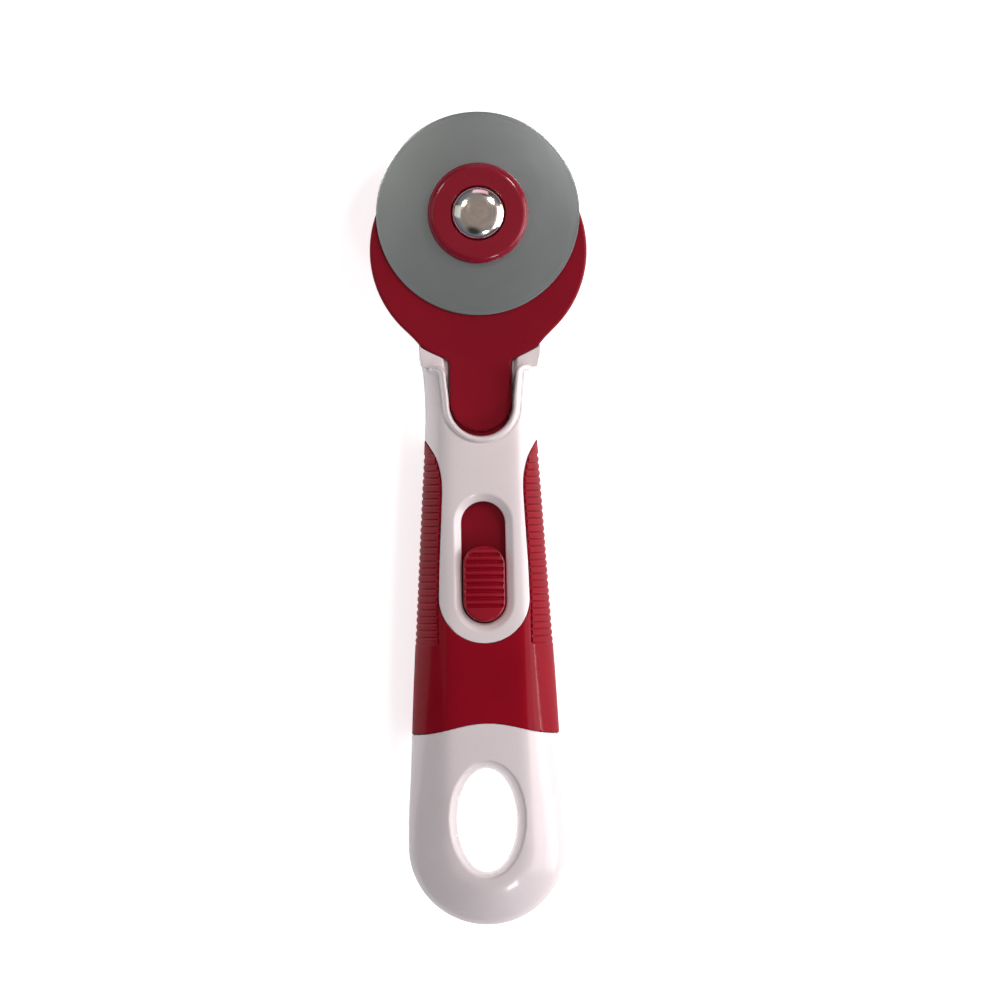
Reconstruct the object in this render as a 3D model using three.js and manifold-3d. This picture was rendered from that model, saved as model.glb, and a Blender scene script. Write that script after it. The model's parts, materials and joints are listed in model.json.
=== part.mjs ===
// Rotary cutter for cloth, with a 45 mm blade and a guard that slides on a thumb button.
// Millimetres. It lies on its back: +Z points out of the front face, +Y along the tool towards the blade.
// Every piece is drawn from the blade's axis, at x = 0 and y = 0, with the back of the handle at z = 0.
// The outer group then moves the origin to the middle of the whole cutter's footprint.

import * as THREE from "three";
import { mergeVertices } from "three/addons/utils/BufferGeometryUtils.js";
import Module from "manifold-3d";

const wasm = await Module();
wasm.setup();

// Driving dimensions
const gap = 0.3; // between pieces that touch on the real cutter
const roundSteps = 36; // sides of a full circle
const bladeSteps = 64;
const smallSteps = 12;

const bladeRadius = 22.5;
const bladeThickness = 0.35;
const bladeBevel = 1.7;
const bladeBore = 4;

const guardRadius = 24;
const guardTravel = 8.2; // from blade bare to blade covered
const guardThickness = 2.2;
const tongueHalf = 6.9;
const tongueEndY = -48.3;

const tailRadius = 17.4;
const tailCentreY = -140;
const handleFrontY = -33.6;
const partingZ = 7.5;
const shoulderZ = 9;
const flatHalf = [8, 8.9]; // half-width of the flat front face, at the fork and at the tail
const facetPower = 1.3; // shape of the shoulders beside it: 1 is a flat facet, 2 is an ellipse
const backShoulder = 4.5;
const backShoulderZ = 5.5;
const skin = 1.5; // thickness of the grips

const gripTopY = -49.9;
const gripBottomY = -115.2;

const holeY = -134.8;
const holeFrontX = 8.35;
const holeFrontY = 12.95;
const holeMiddleX = 6.65;
const holeMiddleY = 11.5;

const slotHalf = 5;
const slotTopY = -63.7;
const slotBottomY = -90.7;
const buttonHalf = 4.65;
const buttonTopY = -73.3;
const buttonBottomY = -90.2;
const buttonZ = 18.2;

const shankRadius = 3;
const boltNeck = 6; // square, and it keeps the bolt from turning in the arm
const armZ = [7, 9.5];
const guardZ = [armZ[1] + gap, armZ[1] + gap + guardThickness];
const bladeZ = [guardZ[1] + gap, guardZ[1] + gap + bladeThickness];
const capRadius = 11.2;
const capZ = [bladeZ[1] + 0.25, 15.7];
const linkZ = [guardZ[0], 11];
const linkThickTopZ = 12.9;
const pinRadius = 1.5;
const pinY = -43.2;
const catchY = -70.5; // crest of the detent spring
const beadZ = 15.1;
const beadWidth = 1.45;
const beadRise = 0.7;
const screwPlaces = [
  [8.8, -56],
  [-8.8, -56],
  [9.3, -107],
  [-9.3, -107],
  [0, -152.2],
];

// Half-width of the handle at a few places along it, from the fork to where the round tail begins
const halfWidths = [
  [13.5, -24],
  [13.2, -31],
  [12.5, -36.1],
  [12.2, -43],
  [12.4, -49.6],
  [13.3, -63.6],
  [14.5, -83.5],
  [15.7, -103.5],
  [16.7, -123.5],
  [17.25, -133],
  [tailRadius, tailCentreY],
];

// Height of the front face along the handle
const frontHeights = [
  [-24, 14.2],
  [-40, 14.4],
  [-55, 15.7],
  [-80, 16.6],
  [-105, 16.8],
  [-125, 16],
  [-158, 14.2],
];

// ---------- small tools ----------

function solidOf(geometry) {
  const bare = geometry.clone();
  bare.deleteAttribute("normal");
  bare.deleteAttribute("uv");
  const merged = mergeVertices(bare, 1e-4);
  return new wasm.Manifold(
    new wasm.Mesh({
      numProp: 3,
      vertProperties: new Float32Array(merged.attributes.position.array),
      triVerts: new Uint32Array(merged.index.array),
    }),
  );
}

function geometryOf(solid) {
  const data = solid.getMesh();
  const geometry = new THREE.BufferGeometry();
  geometry.setAttribute("position", new THREE.BufferAttribute(data.vertProperties, 3));
  geometry.setIndex(new THREE.BufferAttribute(data.triVerts, 1));
  const flat = geometry.toNonIndexed();
  flat.computeVertexNormals();
  return flat;
}

// A flat plate of a shape, from z0 to z1
function plate(shape, z0, z1, curveSegments = 8) {
  const geometry = new THREE.ExtrudeGeometry(shape, { depth: z1 - z0, bevelEnabled: false, curveSegments });
  return solidOf(geometry.translate(0, 0, z0));
}

// A plate with its edges rounded by the size given, its outline kept
function roundedPlate(shape, z0, z1, size, curveSegments = 10, bevelSegments = 1) {
  const geometry = new THREE.ExtrudeGeometry(shape, {
    depth: z1 - z0 - 2 * size,
    bevelThickness: size,
    bevelSize: size,
    bevelOffset: -size,
    bevelSegments,
    curveSegments,
  });
  return solidOf(geometry.translate(0, 0, z0 + size));
}

// A box between two corners
function block(low, high) {
  const size = high.map((value, i) => value - low[i]);
  const middle = high.map((value, i) => (value + low[i]) / 2);
  return solidOf(new THREE.BoxGeometry(...size).translate(...middle));
}

// A turned piece about Z: its profile is a closed loop of [radius, z]
function turned(profile, steps = roundSteps) {
  const points = profile.map(([radius, z]) => new THREE.Vector2(radius, z));
  points.push(points[0].clone());
  return solidOf(new THREE.LatheGeometry(points, steps).rotateX(Math.PI / 2));
}

function rod(radius, z0, z1, x = 0, y = 0, steps = smallSteps) {
  const profile = [
    [0, z0],
    [radius, z0],
    [radius, z1],
    [0, z1],
  ];
  const points = profile.map(([r, z]) => new THREE.Vector2(r, z));
  return solidOf(new THREE.LatheGeometry(points, steps).rotateX(Math.PI / 2).translate(x, y, 0));
}

// A slot with round ends on the centre line
function slotShape(half, topY, bottomY) {
  const shape = new THREE.Shape();
  shape.absarc(0, topY - half, half, 0, Math.PI, false);
  shape.absarc(0, bottomY + half, half, Math.PI, 2 * Math.PI, false);
  shape.closePath();
  return shape;
}

// ---------- the handle's outer form ----------

function frontHeight(y) {
  const last = frontHeights.length - 1;
  const i = Math.min(last - 1, Math.max(0, frontHeights.findIndex(([at]) => at < y) - 1));
  const [y0, z0] = frontHeights[i];
  const [y1, z1] = frontHeights[i + 1];
  const t = Math.min(1, Math.max(0, (y - y0) / (y1 - y0)));
  return z0 + (z1 - z0) * t * t * (3 - 2 * t);
}

// Width of the shoulder between the flat front face and the edge
function shoulderWidth(halfWidth, y) {
  const t = Math.min(1, Math.max(0, (handleFrontY - y) / (handleFrontY - tailCentreY)));
  return halfWidth - flatHalf[0] - (flatHalf[1] - flatHalf[0]) * t;
}

// The right-hand edge seen from above, from the fork to the tip of the tail, with its outward normals
function handleEdge() {
  const curve = new THREE.SplineCurve(halfWidths.map(([x, y]) => new THREE.Vector2(x, y)));
  const sideSteps = 16;
  const tailSteps = 8;
  const edge = [];
  for (let i = 0; i < sideSteps; i++) {
    const at = curve.getPointAt(i / sideSteps);
    const along = curve.getTangentAt(i / sideSteps);
    edge.push({ at, out: new THREE.Vector2(-along.y, along.x), shoulder: shoulderWidth(at.x, at.y) });
  }
  for (let i = 0; i <= tailSteps; i++) {
    const angle = (-Math.PI / 2) * (i / tailSteps);
    const out = new THREE.Vector2(i === tailSteps ? 0 : Math.cos(angle), Math.sin(angle));
    const at = new THREE.Vector2(0, tailCentreY).addScaledVector(out, tailRadius);
    edge.push({ at, out, shoulder: shoulderWidth(tailRadius, tailCentreY) });
  }
  return edge;
}

// The handle as a closed solid, made smaller all round by "less".
// Each level is a ring: down the right-hand edge, round the tail and back up the left.
function handleBody(less) {
  const edge = handleEdge();
  const arcSteps = 4;
  const levels = [];
  for (let i = arcSteps; i >= 0; i--) {
    const angle = (Math.PI / 2) * (i / arcSteps);
    const inset = less + backShoulder * (1 - Math.cos(angle));
    const drop = (backShoulderZ - less) * Math.sin(angle);
    levels.push({ inset: () => inset, height: () => backShoulderZ - drop });
  }
  for (let i = 0; i <= arcSteps; i++) {
    const angle = (Math.PI / 2) * (i / arcSteps);
    const across = Math.cos(angle) ** (2 / facetPower);
    const up = Math.sin(angle) ** (2 / facetPower);
    levels.push({
      inset: (shoulder) => less + shoulder * (1 - across),
      height: (y) => shoulderZ + (frontHeight(y) - less - shoulderZ) * up,
    });
  }
  const last = edge.length - 1;
  const ringSize = 2 * last + 1;
  const positions = [];
  for (const { inset, height } of levels) {
    const right = edge.map(({ at, out, shoulder }) => at.clone().addScaledVector(out, -inset(shoulder)));
    for (let i = 0; i < ringSize; i++) {
      const point = right[i <= last ? i : 2 * last - i];
      positions.push(i <= last ? point.x : -point.x, point.y, height(point.y));
    }
  }
  const faces = [];
  for (let level = 0; level < levels.length - 1; level++) {
    for (let i = 0; i < ringSize; i++) {
      const next = (i + 1) % ringSize;
      const a = level * ringSize + i;
      const b = level * ringSize + next;
      faces.push(a, a + ringSize, b);
      faces.push(b, a + ringSize, b + ringSize);
    }
  }
  const top = (levels.length - 1) * ringSize;
  for (let i = 0; i < last; i++) {
    const mirror = ringSize - 1 - i;
    faces.push(i, i + 1, mirror);
    faces.push(top + i, top + mirror, top + i + 1);
    if (i < last - 1) {
      faces.push(i + 1, mirror - 1, mirror);
      faces.push(top + i + 1, top + mirror, top + mirror - 1);
    }
  }
  const geometry = new THREE.BufferGeometry();
  geometry.setAttribute("position", new THREE.Float32BufferAttribute(positions, 3));
  geometry.setIndex(faces);
  return solidOf(geometry);
}

// ---------- the outlines on the front of the handle ----------

// The white panel between the grip's side strips, grown by "more"
function panelShape(more) {
  const bottom = -95.3 - more;
  const shape = new THREE.Shape();
  shape.moveTo(20, -40);
  shape.lineTo(20, gripTopY - more * 0.5);
  shape.lineTo(12.6 + more, gripTopY - more * 0.5);
  shape.bezierCurveTo(11 + more, -52, 9.4 + more, -53.5, 9.1 + more, -57.5);
  shape.bezierCurveTo(9.3 + more, -66, 10.1 + more, -75, 10.25 + more, -85);
  shape.bezierCurveTo(10.3 + more, -91.5, 6 + more, bottom, 0, bottom);
  shape.bezierCurveTo(-6 - more, bottom, -10.3 - more, -91.5, -10.25 - more, -85);
  shape.bezierCurveTo(-10.1 - more, -75, -9.3 - more, -66, -9.1 - more, -57.5);
  shape.bezierCurveTo(-9.4 - more, -53.5, -11 - more, -52, -12.6 - more, gripTopY - more * 0.5);
  shape.lineTo(-20, gripTopY - more * 0.5);
  shape.lineTo(-20, -40);
  shape.closePath();
  return shape;
}

// The grip's zone from above: its lower edge rises a little in the middle
function gripZone(more) {
  const low = gripBottomY - more;
  const shape = new THREE.Shape();
  shape.moveTo(20, gripTopY + more);
  shape.lineTo(-20, gripTopY + more);
  shape.lineTo(-20, low);
  shape.bezierCurveTo(-10, low, -8, low + 2.3, 0, low + 2.3);
  shape.bezierCurveTo(8, low + 2.3, 10, low, 20, low);
  shape.closePath();
  return shape;
}

// The window in the fork that the guard's tongue slides in
function windowShape(more) {
  const shape = new THREE.Shape();
  shape.moveTo(8.7 + more, -28);
  shape.lineTo(8.3 + more, -34.5);
  shape.bezierCurveTo(8 + more, -38, 7.3 + more, -40, 7.2 + more, -42.2);
  shape.absarc(0, -42.2, 7 + more, 0, -Math.PI, true);
  shape.bezierCurveTo(-7.3 - more, -40, -8 - more, -38, -8.3 - more, -34.5);
  shape.lineTo(-8.7 - more, -28);
  shape.closePath();
  return shape;
}

// ---------- handle pieces ----------

// An oval stack for the hanging hole, flared at both mouths
function holeCutter() {
  const steps = 28;
  const levels = [
    [-1, 1.15],
    [1.5, 0.8],
    [4, 0.2],
    [partingZ, 0],
    [11, 0.25],
    [14.8, 1],
    [18, 1.6],
  ];
  const positions = [];
  for (const [z, flare] of levels) {
    const halfX = holeMiddleX + (holeFrontX - holeMiddleX) * flare;
    const halfY = holeMiddleY + (holeFrontY - holeMiddleY) * flare;
    for (let i = 0; i < steps; i++) {
      const angle = (2 * Math.PI * i) / steps;
      positions.push(halfX * Math.cos(angle), holeY + halfY * Math.sin(angle), z);
    }
  }
  const faces = [];
  for (let level = 0; level < levels.length - 1; level++) {
    for (let i = 0; i < steps; i++) {
      const a = level * steps + i;
      const b = level * steps + ((i + 1) % steps);
      faces.push(a, b, a + steps);
      faces.push(b, b + steps, a + steps);
    }
  }
  const top = (levels.length - 1) * steps;
  for (let i = 1; i < steps - 1; i++) {
    faces.push(0, i + 1, i);
    faces.push(top, top + i, top + i + 1);
  }
  const geometry = new THREE.BufferGeometry();
  geometry.setAttribute("position", new THREE.Float32BufferAttribute(positions, 3));
  geometry.setIndex(faces);
  return solidOf(geometry);
}

function ellipsePlate(halfX, halfY, z0, z1) {
  const shape = new THREE.Shape();
  shape.absellipse(0, holeY, halfX, halfY, 0, 2 * Math.PI, false);
  return plate(shape, z0, z1, 24);
}

const far = 60;
const whole = handleBody(0);
const underGrip = handleBody(skin + gap);
const insideGrip = handleBody(skin);
const hollowForm = handleBody(skin + 2.3).subtract(ellipsePlate(10.4, 15, -5, 25));
const frontSide = block([-far, -200, partingZ + gap / 2], [far, far, 40]);
const backSide = block([-far, -200, -20], [far, far, partingZ - gap / 2]);

// One rod at each screw, joined as one solid
function screwRods(radius, z0, z1) {
  const rods = screwPlaces.map(([x, y]) => rod(radius, z0, z1, x, y));
  return rods.reduce((sum, piece) => sum.add(piece));
}

// The raised lip round the window, with its tops turned outwards
function makeBead() {
  const low = 10.5;
  const topsY = [-34.8, -33.3];
  const tops = block([-11.2, topsY[0], low], [11.2, topsY[1], beadZ]);
  const lip = plate(windowShape(beadWidth), low, beadZ).add(tops).intersect(handleBody(-beadRise));
  return lip.subtract(block([-far, topsY[1], 0], [far, far, far]));
}

function makeFrontShell() {
  const bottom = partingZ + gap / 2;
  const zone = plate(gripZone(gap / 2), -1, 30).subtract(plate(panelShape(-gap / 2), -2, 31));
  const gripCut = zone.subtract(underGrip);
  const outer = whole.intersect(frontSide).subtract(block([-far, handleFrontY, -5], [far, far, far]));
  const hollow = hollowForm.intersect(block([-far, -200, -5], [far, -60, 12.6]));
  const posts = screwRods(3, bottom, 13).intersect(whole);
  const armPocket = block([-9.8, -54, 0], [9.8, -20, linkZ[1] + gap]).subtract(screwRods(3, 0, 12));
  const linkChannel = block([-6.6, -96, 0], [6.6, -53.3, linkThickTopZ + gap]);
  const dish = new THREE.ExtrudeGeometry(slotShape(slotHalf, slotTopY, slotBottomY), {
    depth: 3,
    bevelThickness: 1.2,
    bevelSize: 1.7,
    bevelSegments: 1,
    curveSegments: 10,
  });
  return outer
    .subtract(hollow)
    .add(makeBead())
    .add(posts)
    .subtract(gripCut)
    .subtract(plate(windowShape(0), guardZ[0] - 0.1, 30))
    .subtract(armPocket)
    .subtract(linkChannel)
    .subtract(plate(slotShape(slotHalf, slotTopY, slotBottomY), bottom, 30))
    .subtract(solidOf(dish.translate(0, 0, 16.6)))
    .subtract(holeCutter())
    .subtract(screwRods(1.5, 0, 11.6));
}

function armShape() {
  const shape = new THREE.Shape();
  shape.moveTo(9.4, -46);
  shape.lineTo(9.4, handleFrontY + gap);
  shape.lineTo(12.8, handleFrontY + gap);
  shape.lineTo(13.5, -29.6);
  shape.bezierCurveTo(13.2, -22, 11.2, -10, 10, -3);
  shape.absarc(0, 0, 10, 0, Math.PI, false);
  shape.lineTo(-10, -3);
  shape.bezierCurveTo(-11.2, -10, -13.2, -22, -13.5, -29.6);
  shape.lineTo(-12.8, handleFrontY + gap);
  shape.lineTo(-9.4, handleFrontY + gap);
  shape.lineTo(-9.4, -46);
  shape.closePath();
  return shape;
}

function makeBackShell() {
  const gripCut = plate(gripZone(gap / 2), -1, 30).subtract(underGrip);
  const outer = whole.intersect(backSide).subtract(block([-far, -30.6, -5], [far, far, far]));
  const hollow = hollowForm.subtract(block([-far, -44, -5], [far, far, far]));
  const posts = screwRods(3, 1.5, partingZ - gap / 2).intersect(whole);
  const neckHole = boltNeck / 2 + gap;
  return outer
    .subtract(hollow)
    .add(posts)
    .add(plate(armShape(), armZ[0], armZ[1]))
    .subtract(gripCut)
    .subtract(holeCutter())
    .subtract(block([-neckHole, -neckHole, 0], [neckHole, neckHole, 20]))
    .subtract(screwRods(1.5, -1, 20))
    .subtract(screwRods(3, -1, 2.9));
}

function makeFrontGrip() {
  const zone = plate(gripZone(-gap / 2), 0, 30).subtract(plate(panelShape(gap / 2), -1, 31));
  return whole.intersect(frontSide).intersect(zone).subtract(insideGrip);
}

function makeBackGrip() {
  const zone = plate(gripZone(-gap / 2), -1, 30);
  const grip = whole.intersect(backSide).intersect(zone).subtract(insideGrip);
  return grip.subtract(screwRods(3.3, -2, 5));
}

// A pan-head screw, its head down in the back shell
function makeScrew() {
  const profile = [
    [0, 0.7],
    [1.6, 0.7],
    [2.4, 1.2],
    [2.6, 1.8],
    [2.6, 2.6],
    [1.2, 2.6],
    [1.2, 10.8],
    [0, 11.3],
  ];
  const points = profile.map(([radius, z]) => new THREE.Vector2(radius, z));
  return solidOf(new THREE.LatheGeometry(points, smallSteps).rotateX(Math.PI / 2));
}

// ---------- guard and slider ----------

function makeGuard() {
  const centreY = -guardTravel;
  const meet = -0.91; // where the round guard turns into its neck, in radians
  const shape = new THREE.Shape();
  shape.absarc(0, centreY, guardRadius, meet, Math.PI - meet, false);
  shape.lineTo(-12.9, -29.4);
  shape.bezierCurveTo(-11, -31.6, -7.2, -30.6, -tongueHalf, -33.2);
  shape.lineTo(-tongueHalf, tongueEndY + tongueHalf);
  shape.absarc(0, tongueEndY + tongueHalf, tongueHalf, Math.PI, 2 * Math.PI, false);
  shape.lineTo(tongueHalf, -33.2);
  shape.bezierCurveTo(7.2, -30.6, 11, -31.6, 12.9, -29.4);
  shape.closePath();
  const disc = roundedPlate(shape, guardZ[0], guardZ[1], 0.6, 22);
  const lap = block([-far, -70, 0], [far, -38.3, linkZ[1] + gap]);
  const shankSlot = plate(slotShape(shankRadius + 0.4, shankRadius + 0.4, -guardTravel - shankRadius - 0.4), 0, 30);
  return disc.subtract(lap).subtract(shankSlot).subtract(rod(pinRadius + gap, 0, 11.75, 0, pinY));
}

function makeLink() {
  const thin = block([-4.5, -64, linkZ[0]], [4.5, -38.3 - gap, linkZ[1]]);
  const thick = block([-6.2, -94.6, linkZ[0]], [6.2, -62, linkThickTopZ]);
  const catches = [0, guardTravel].map((along) =>
    block([-3.2, catchY - 0.7 - along, 0], [3.2, catchY + 0.7 - along, linkZ[0] + 0.6]),
  );
  const stemHole = block([-2.8, -87.3, 0], [2.8, -76.7, 20]);
  const form = catches.reduce((sum, notch) => sum.subtract(notch), thin.add(thick));
  return form.subtract(rod(pinRadius + gap, 0, 20, 0, pinY)).subtract(stemHole);
}

function makeButton() {
  const base = linkThickTopZ + gap;
  const outline = slotShape(buttonHalf, buttonTopY, buttonBottomY);
  const form = roundedPlate(outline, base, buttonZ, 0.8);
  const lip = buttonTopY + 0.01;
  const rampShape = new THREE.Shape();
  rampShape.moveTo(lip, 16.2);
  rampShape.lineTo(lip, 20);
  rampShape.lineTo(lip - 5, 20);
  rampShape.lineTo(lip - 5, buttonZ);
  rampShape.closePath();
  const ramp = new THREE.ExtrudeGeometry(rampShape, { depth: 20, bevelEnabled: false });
  ramp.rotateX(Math.PI / 2).rotateZ(Math.PI / 2).translate(-10, 0, 0);
  const stem = block([-2.5, -87, linkZ[0] + 0.5], [2.5, -77, base + 0.5]);
  return form.subtract(solidOf(ramp)).add(stem);
}

function makeDetentSpring() {
  const middle = new THREE.SplineCurve([
    new THREE.Vector2(-99, 4.6),
    new THREE.Vector2(-95, 4.6),
    new THREE.Vector2(-88, 6.6),
    new THREE.Vector2(-76, 7.2),
    new THREE.Vector2(catchY - 1.5, 7.6),
    new THREE.Vector2(catchY, 9.15),
    new THREE.Vector2(catchY + 1.5, 7.6),
    new THREE.Vector2(catchY + 6.5, 7.1),
  ]);
  const steps = 24;
  const upper = [];
  const lower = [];
  for (let i = 0; i <= steps; i++) {
    const at = middle.getPointAt(i / steps);
    const along = middle.getTangentAt(i / steps);
    const across = new THREE.Vector2(-along.y, along.x).multiplyScalar(0.2);
    upper.push(at.clone().add(across));
    lower.unshift(at.clone().sub(across));
  }
  const strip = new THREE.ExtrudeGeometry(new THREE.Shape([...lower, ...upper]), { depth: 5, bevelEnabled: false });
  strip.rotateX(Math.PI / 2).rotateZ(Math.PI / 2);
  return solidOf(strip.translate(-2.5, 0, 0));
}

// ---------- blade and its fastening ----------

function makeBlade() {
  const flat = bladeRadius - bladeBevel;
  const middle = (bladeZ[0] + bladeZ[1]) / 2;
  return turned(
    [
      [bladeBore, bladeZ[0]],
      [flat, bladeZ[0]],
      [bladeRadius, middle - 0.03],
      [bladeRadius, middle + 0.03],
      [flat, bladeZ[1]],
      [bladeBore, bladeZ[1]],
    ],
    bladeSteps,
  );
}

function makeCap() {
  const bore = shankRadius + gap;
  return turned([
    [bore, bladeZ[0]],
    [bladeBore - 0.07, bladeZ[0]],
    [bladeBore - 0.07, capZ[0]],
    [capRadius, capZ[0]],
    [capRadius, 14.2],
    [10.9, 14.9],
    [10.3, 15.5],
    [9.5, capZ[1]],
    [6.5, capZ[1]],
    [6.4, 14.6],
    [bore, 14.6],
  ]);
}

function makeBolt() {
  const headZ = 14.9;
  const profile = [[0, 1.1]];
  profile.push([shankRadius - 0.4, 1.1], [shankRadius, 1.5], [shankRadius, headZ], [5.9, headZ]);
  const domeSteps = 5;
  for (let i = 0; i <= domeSteps; i++) {
    const angle = (Math.PI / 2) * (i / domeSteps);
    profile.push([i === domeSteps ? 0 : 5.9 * Math.cos(angle), 15.2 + 2.3 * Math.sin(angle)]);
  }
  const points = profile.map(([radius, z]) => new THREE.Vector2(radius, z));
  const lathe = solidOf(new THREE.LatheGeometry(points, roundSteps).rotateX(Math.PI / 2));
  const neck = boltNeck / 2;
  return lathe.add(block([-neck, -neck, armZ[0] + 0.1], [neck, neck, armZ[1] - 0.1]));
}

function makeFlatWasher() {
  return turned([
    [shankRadius + gap, 6.1],
    [8, 6.1],
    [8, 6.7],
    [shankRadius + gap, 6.7],
  ]);
}

// A thin ring bowed across its width
function makeBowWasher() {
  const steps = 20;
  const ring = new THREE.Shape();
  ring.absarc(0, 0, 7.6, 0, 2 * Math.PI, false);
  const hole = new THREE.Path();
  hole.absarc(0, 0, shankRadius + gap, 0, 2 * Math.PI, true);
  ring.holes.push(hole);
  const geometry = new THREE.ExtrudeGeometry(ring, { depth: 0.4, bevelEnabled: false, curveSegments: steps });
  const position = geometry.attributes.position;
  for (let i = 0; i < position.count; i++) {
    const x = position.getX(i);
    position.setZ(i, position.getZ(i) + 5 + 0.55 * (1 - (x / 7.6) ** 2));
  }
  return solidOf(geometry);
}

function makeLockNut() {
  const lobes = 14;
  const shape = new THREE.Shape();
  const steps = lobes * 6;
  for (let i = 0; i < steps; i++) {
    const angle = (2 * Math.PI * i) / steps;
    const radius = 10.4 + 0.45 * Math.cos(lobes * angle);
    const point = [radius * Math.cos(angle), radius * Math.sin(angle)];
    if (i === 0) shape.moveTo(...point);
    else shape.lineTo(...point);
  }
  shape.closePath();
  const knob = roundedPlate(shape, 0.4, 4.7, 0.7);
  const hexPocket = hexPlate(4.5 / Math.cos(Math.PI / 6) + 0.35, 1.6, 6);
  return knob.subtract(hexPocket).subtract(rod(shankRadius + gap, -1, 6, 0, 0, roundSteps));
}

function hexPlate(radius, z0, z1) {
  const shape = new THREE.Shape();
  for (let i = 0; i < 6; i++) {
    const angle = (Math.PI / 3) * i;
    if (i === 0) shape.moveTo(radius, 0);
    else shape.lineTo(radius * Math.cos(angle), radius * Math.sin(angle));
  }
  shape.closePath();
  return plate(shape, z0, z1);
}

function makeInsert() {
  const bore = rod(shankRadius + 0.1, 0, 6, 0, 0, roundSteps);
  return hexPlate(4.5 / Math.cos(Math.PI / 6), 1.9, 4.6).subtract(bore);
}

// ---------- materials and assembly ----------

function material(name, colour, roughness, metalness) {
  const made = new THREE.MeshStandardMaterial({ color: colour, roughness, metalness });
  made.name = name;
  return made;
}

const white = () => material("white_plastic", 0xdedad8, 0.25, 0);
const crimson = () => material("crimson_plastic", 0x8c1a2e, 0.4, 0);
const buttonRed = () => material("crimson_gloss", 0xa01434, 0.25, 0);
const steel = () => material("steel", 0xa8abac, 0.35, 1);
const chrome = () => material("chrome", 0xd8d8d8, 0.08, 1);

const pieces = [
  ["back_shell", makeBackShell(), white()],
  ["front_shell", makeFrontShell(), white()],
  ["front_grip", makeFrontGrip(), crimson()],
  ["back_grip", makeBackGrip(), crimson()],
  ["guard_plate", makeGuard(), crimson()],
  ["slider_link", makeLink(), crimson()],
  ["link_pin", rod(pinRadius, linkZ[0] + 0.1, 11.45, 0, pinY), steel()],
  ["thumb_button", makeButton(), buttonRed()],
  ["detent_spring", makeDetentSpring(), steel()],
  ["pivot_bolt", makeBolt(), chrome()],
  ["blade_cap", makeCap(), buttonRed()],
  ["blade", makeBlade(), steel()],
  ["flat_washer", makeFlatWasher(), steel()],
  ["bow_washer", makeBowWasher(), steel()],
  ["lock_nut", makeLockNut(), buttonRed()],
  ["nut_insert", makeInsert(), steel()],
];

const cutter = new THREE.Group();
cutter.name = "cutter";

function place(name, geometry, look, x = 0, y = 0) {
  const mesh = new THREE.Mesh(geometry, look);
  mesh.name = name;
  mesh.position.set(x, y, 0);
  cutter.add(mesh);
}

for (const [name, solid, look] of pieces) {
  place(name, geometryOf(solid), look);
}
const screwGeometry = geometryOf(makeScrew());
screwPlaces.forEach(([x, y], i) => {
  place(`shell_screw_${i + 1}`, screwGeometry, steel(), x, y);
});

// From the blade's axis to the middle of the footprint
const tailEndY = tailCentreY - tailRadius;
cutter.position.y = -(bladeRadius + tailEndY) / 2;

const group = new THREE.Group();
group.name = "rotary_cutter";
group.add(cutter);

export default group;
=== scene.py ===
import json
import math
import bpy
import bmesh
import numpy as np
from mathutils import Matrix, Vector


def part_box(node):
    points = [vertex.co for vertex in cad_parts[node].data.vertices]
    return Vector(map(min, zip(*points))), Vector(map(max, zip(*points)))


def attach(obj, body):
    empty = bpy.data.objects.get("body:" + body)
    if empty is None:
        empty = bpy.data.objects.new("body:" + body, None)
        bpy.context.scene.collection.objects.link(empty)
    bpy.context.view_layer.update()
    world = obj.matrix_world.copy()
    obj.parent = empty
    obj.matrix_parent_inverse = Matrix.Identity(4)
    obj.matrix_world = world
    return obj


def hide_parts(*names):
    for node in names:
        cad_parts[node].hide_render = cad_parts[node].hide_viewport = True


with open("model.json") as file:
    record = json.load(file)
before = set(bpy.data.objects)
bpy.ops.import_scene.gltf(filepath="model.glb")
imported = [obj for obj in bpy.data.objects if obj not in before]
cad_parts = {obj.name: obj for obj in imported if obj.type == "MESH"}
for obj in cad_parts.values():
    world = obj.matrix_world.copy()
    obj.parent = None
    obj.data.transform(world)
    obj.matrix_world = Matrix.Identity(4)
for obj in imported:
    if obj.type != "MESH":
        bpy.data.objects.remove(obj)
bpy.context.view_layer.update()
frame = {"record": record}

mm = 0.001
boltLow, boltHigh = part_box("pivot_bolt")
axisY = (boltLow.y + boltHigh.y) / 2  # the blade's axis, where every sketch below has its zero


def top(node):
    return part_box(node)[1].z / mm


def bottom(node):
    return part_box(node)[0].z / mm



def toWorld(points):
    out = np.array(points, float) * mm
    out[:, 1] += axisY
    return out


def newObject(name, verts, faces, look, body, nodes=(), smooth=True):
    mesh = bpy.data.meshes.new(name)
    mesh.from_pydata([tuple(v) for v in toWorld(verts)], [], [tuple(f) for f in faces])
    mesh.validate()
    obj = bpy.data.objects.new(name, mesh)
    bpy.context.scene.collection.objects.link(obj)
    for face in mesh.polygons:
        face.use_smooth = smooth
    return dress(obj, look, body, nodes)


def dress(obj, look, body, nodes=()):
    if look is not None:
        obj.data.materials.clear()
        obj.data.materials.append(look)
    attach(obj, body)
    if nodes:
        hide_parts(*nodes)
    return obj


def smoothByAngle(obj, degrees=30):
    for face in obj.data.polygons:
        face.use_smooth = True
    bm = bmesh.new()
    bm.from_mesh(obj.data)
    limit = math.radians(degrees)
    for edge in bm.edges:
        edge.smooth = len(edge.link_faces) == 2 and edge.calc_face_angle(0) < limit
    bm.to_mesh(obj.data)
    bm.free()


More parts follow.
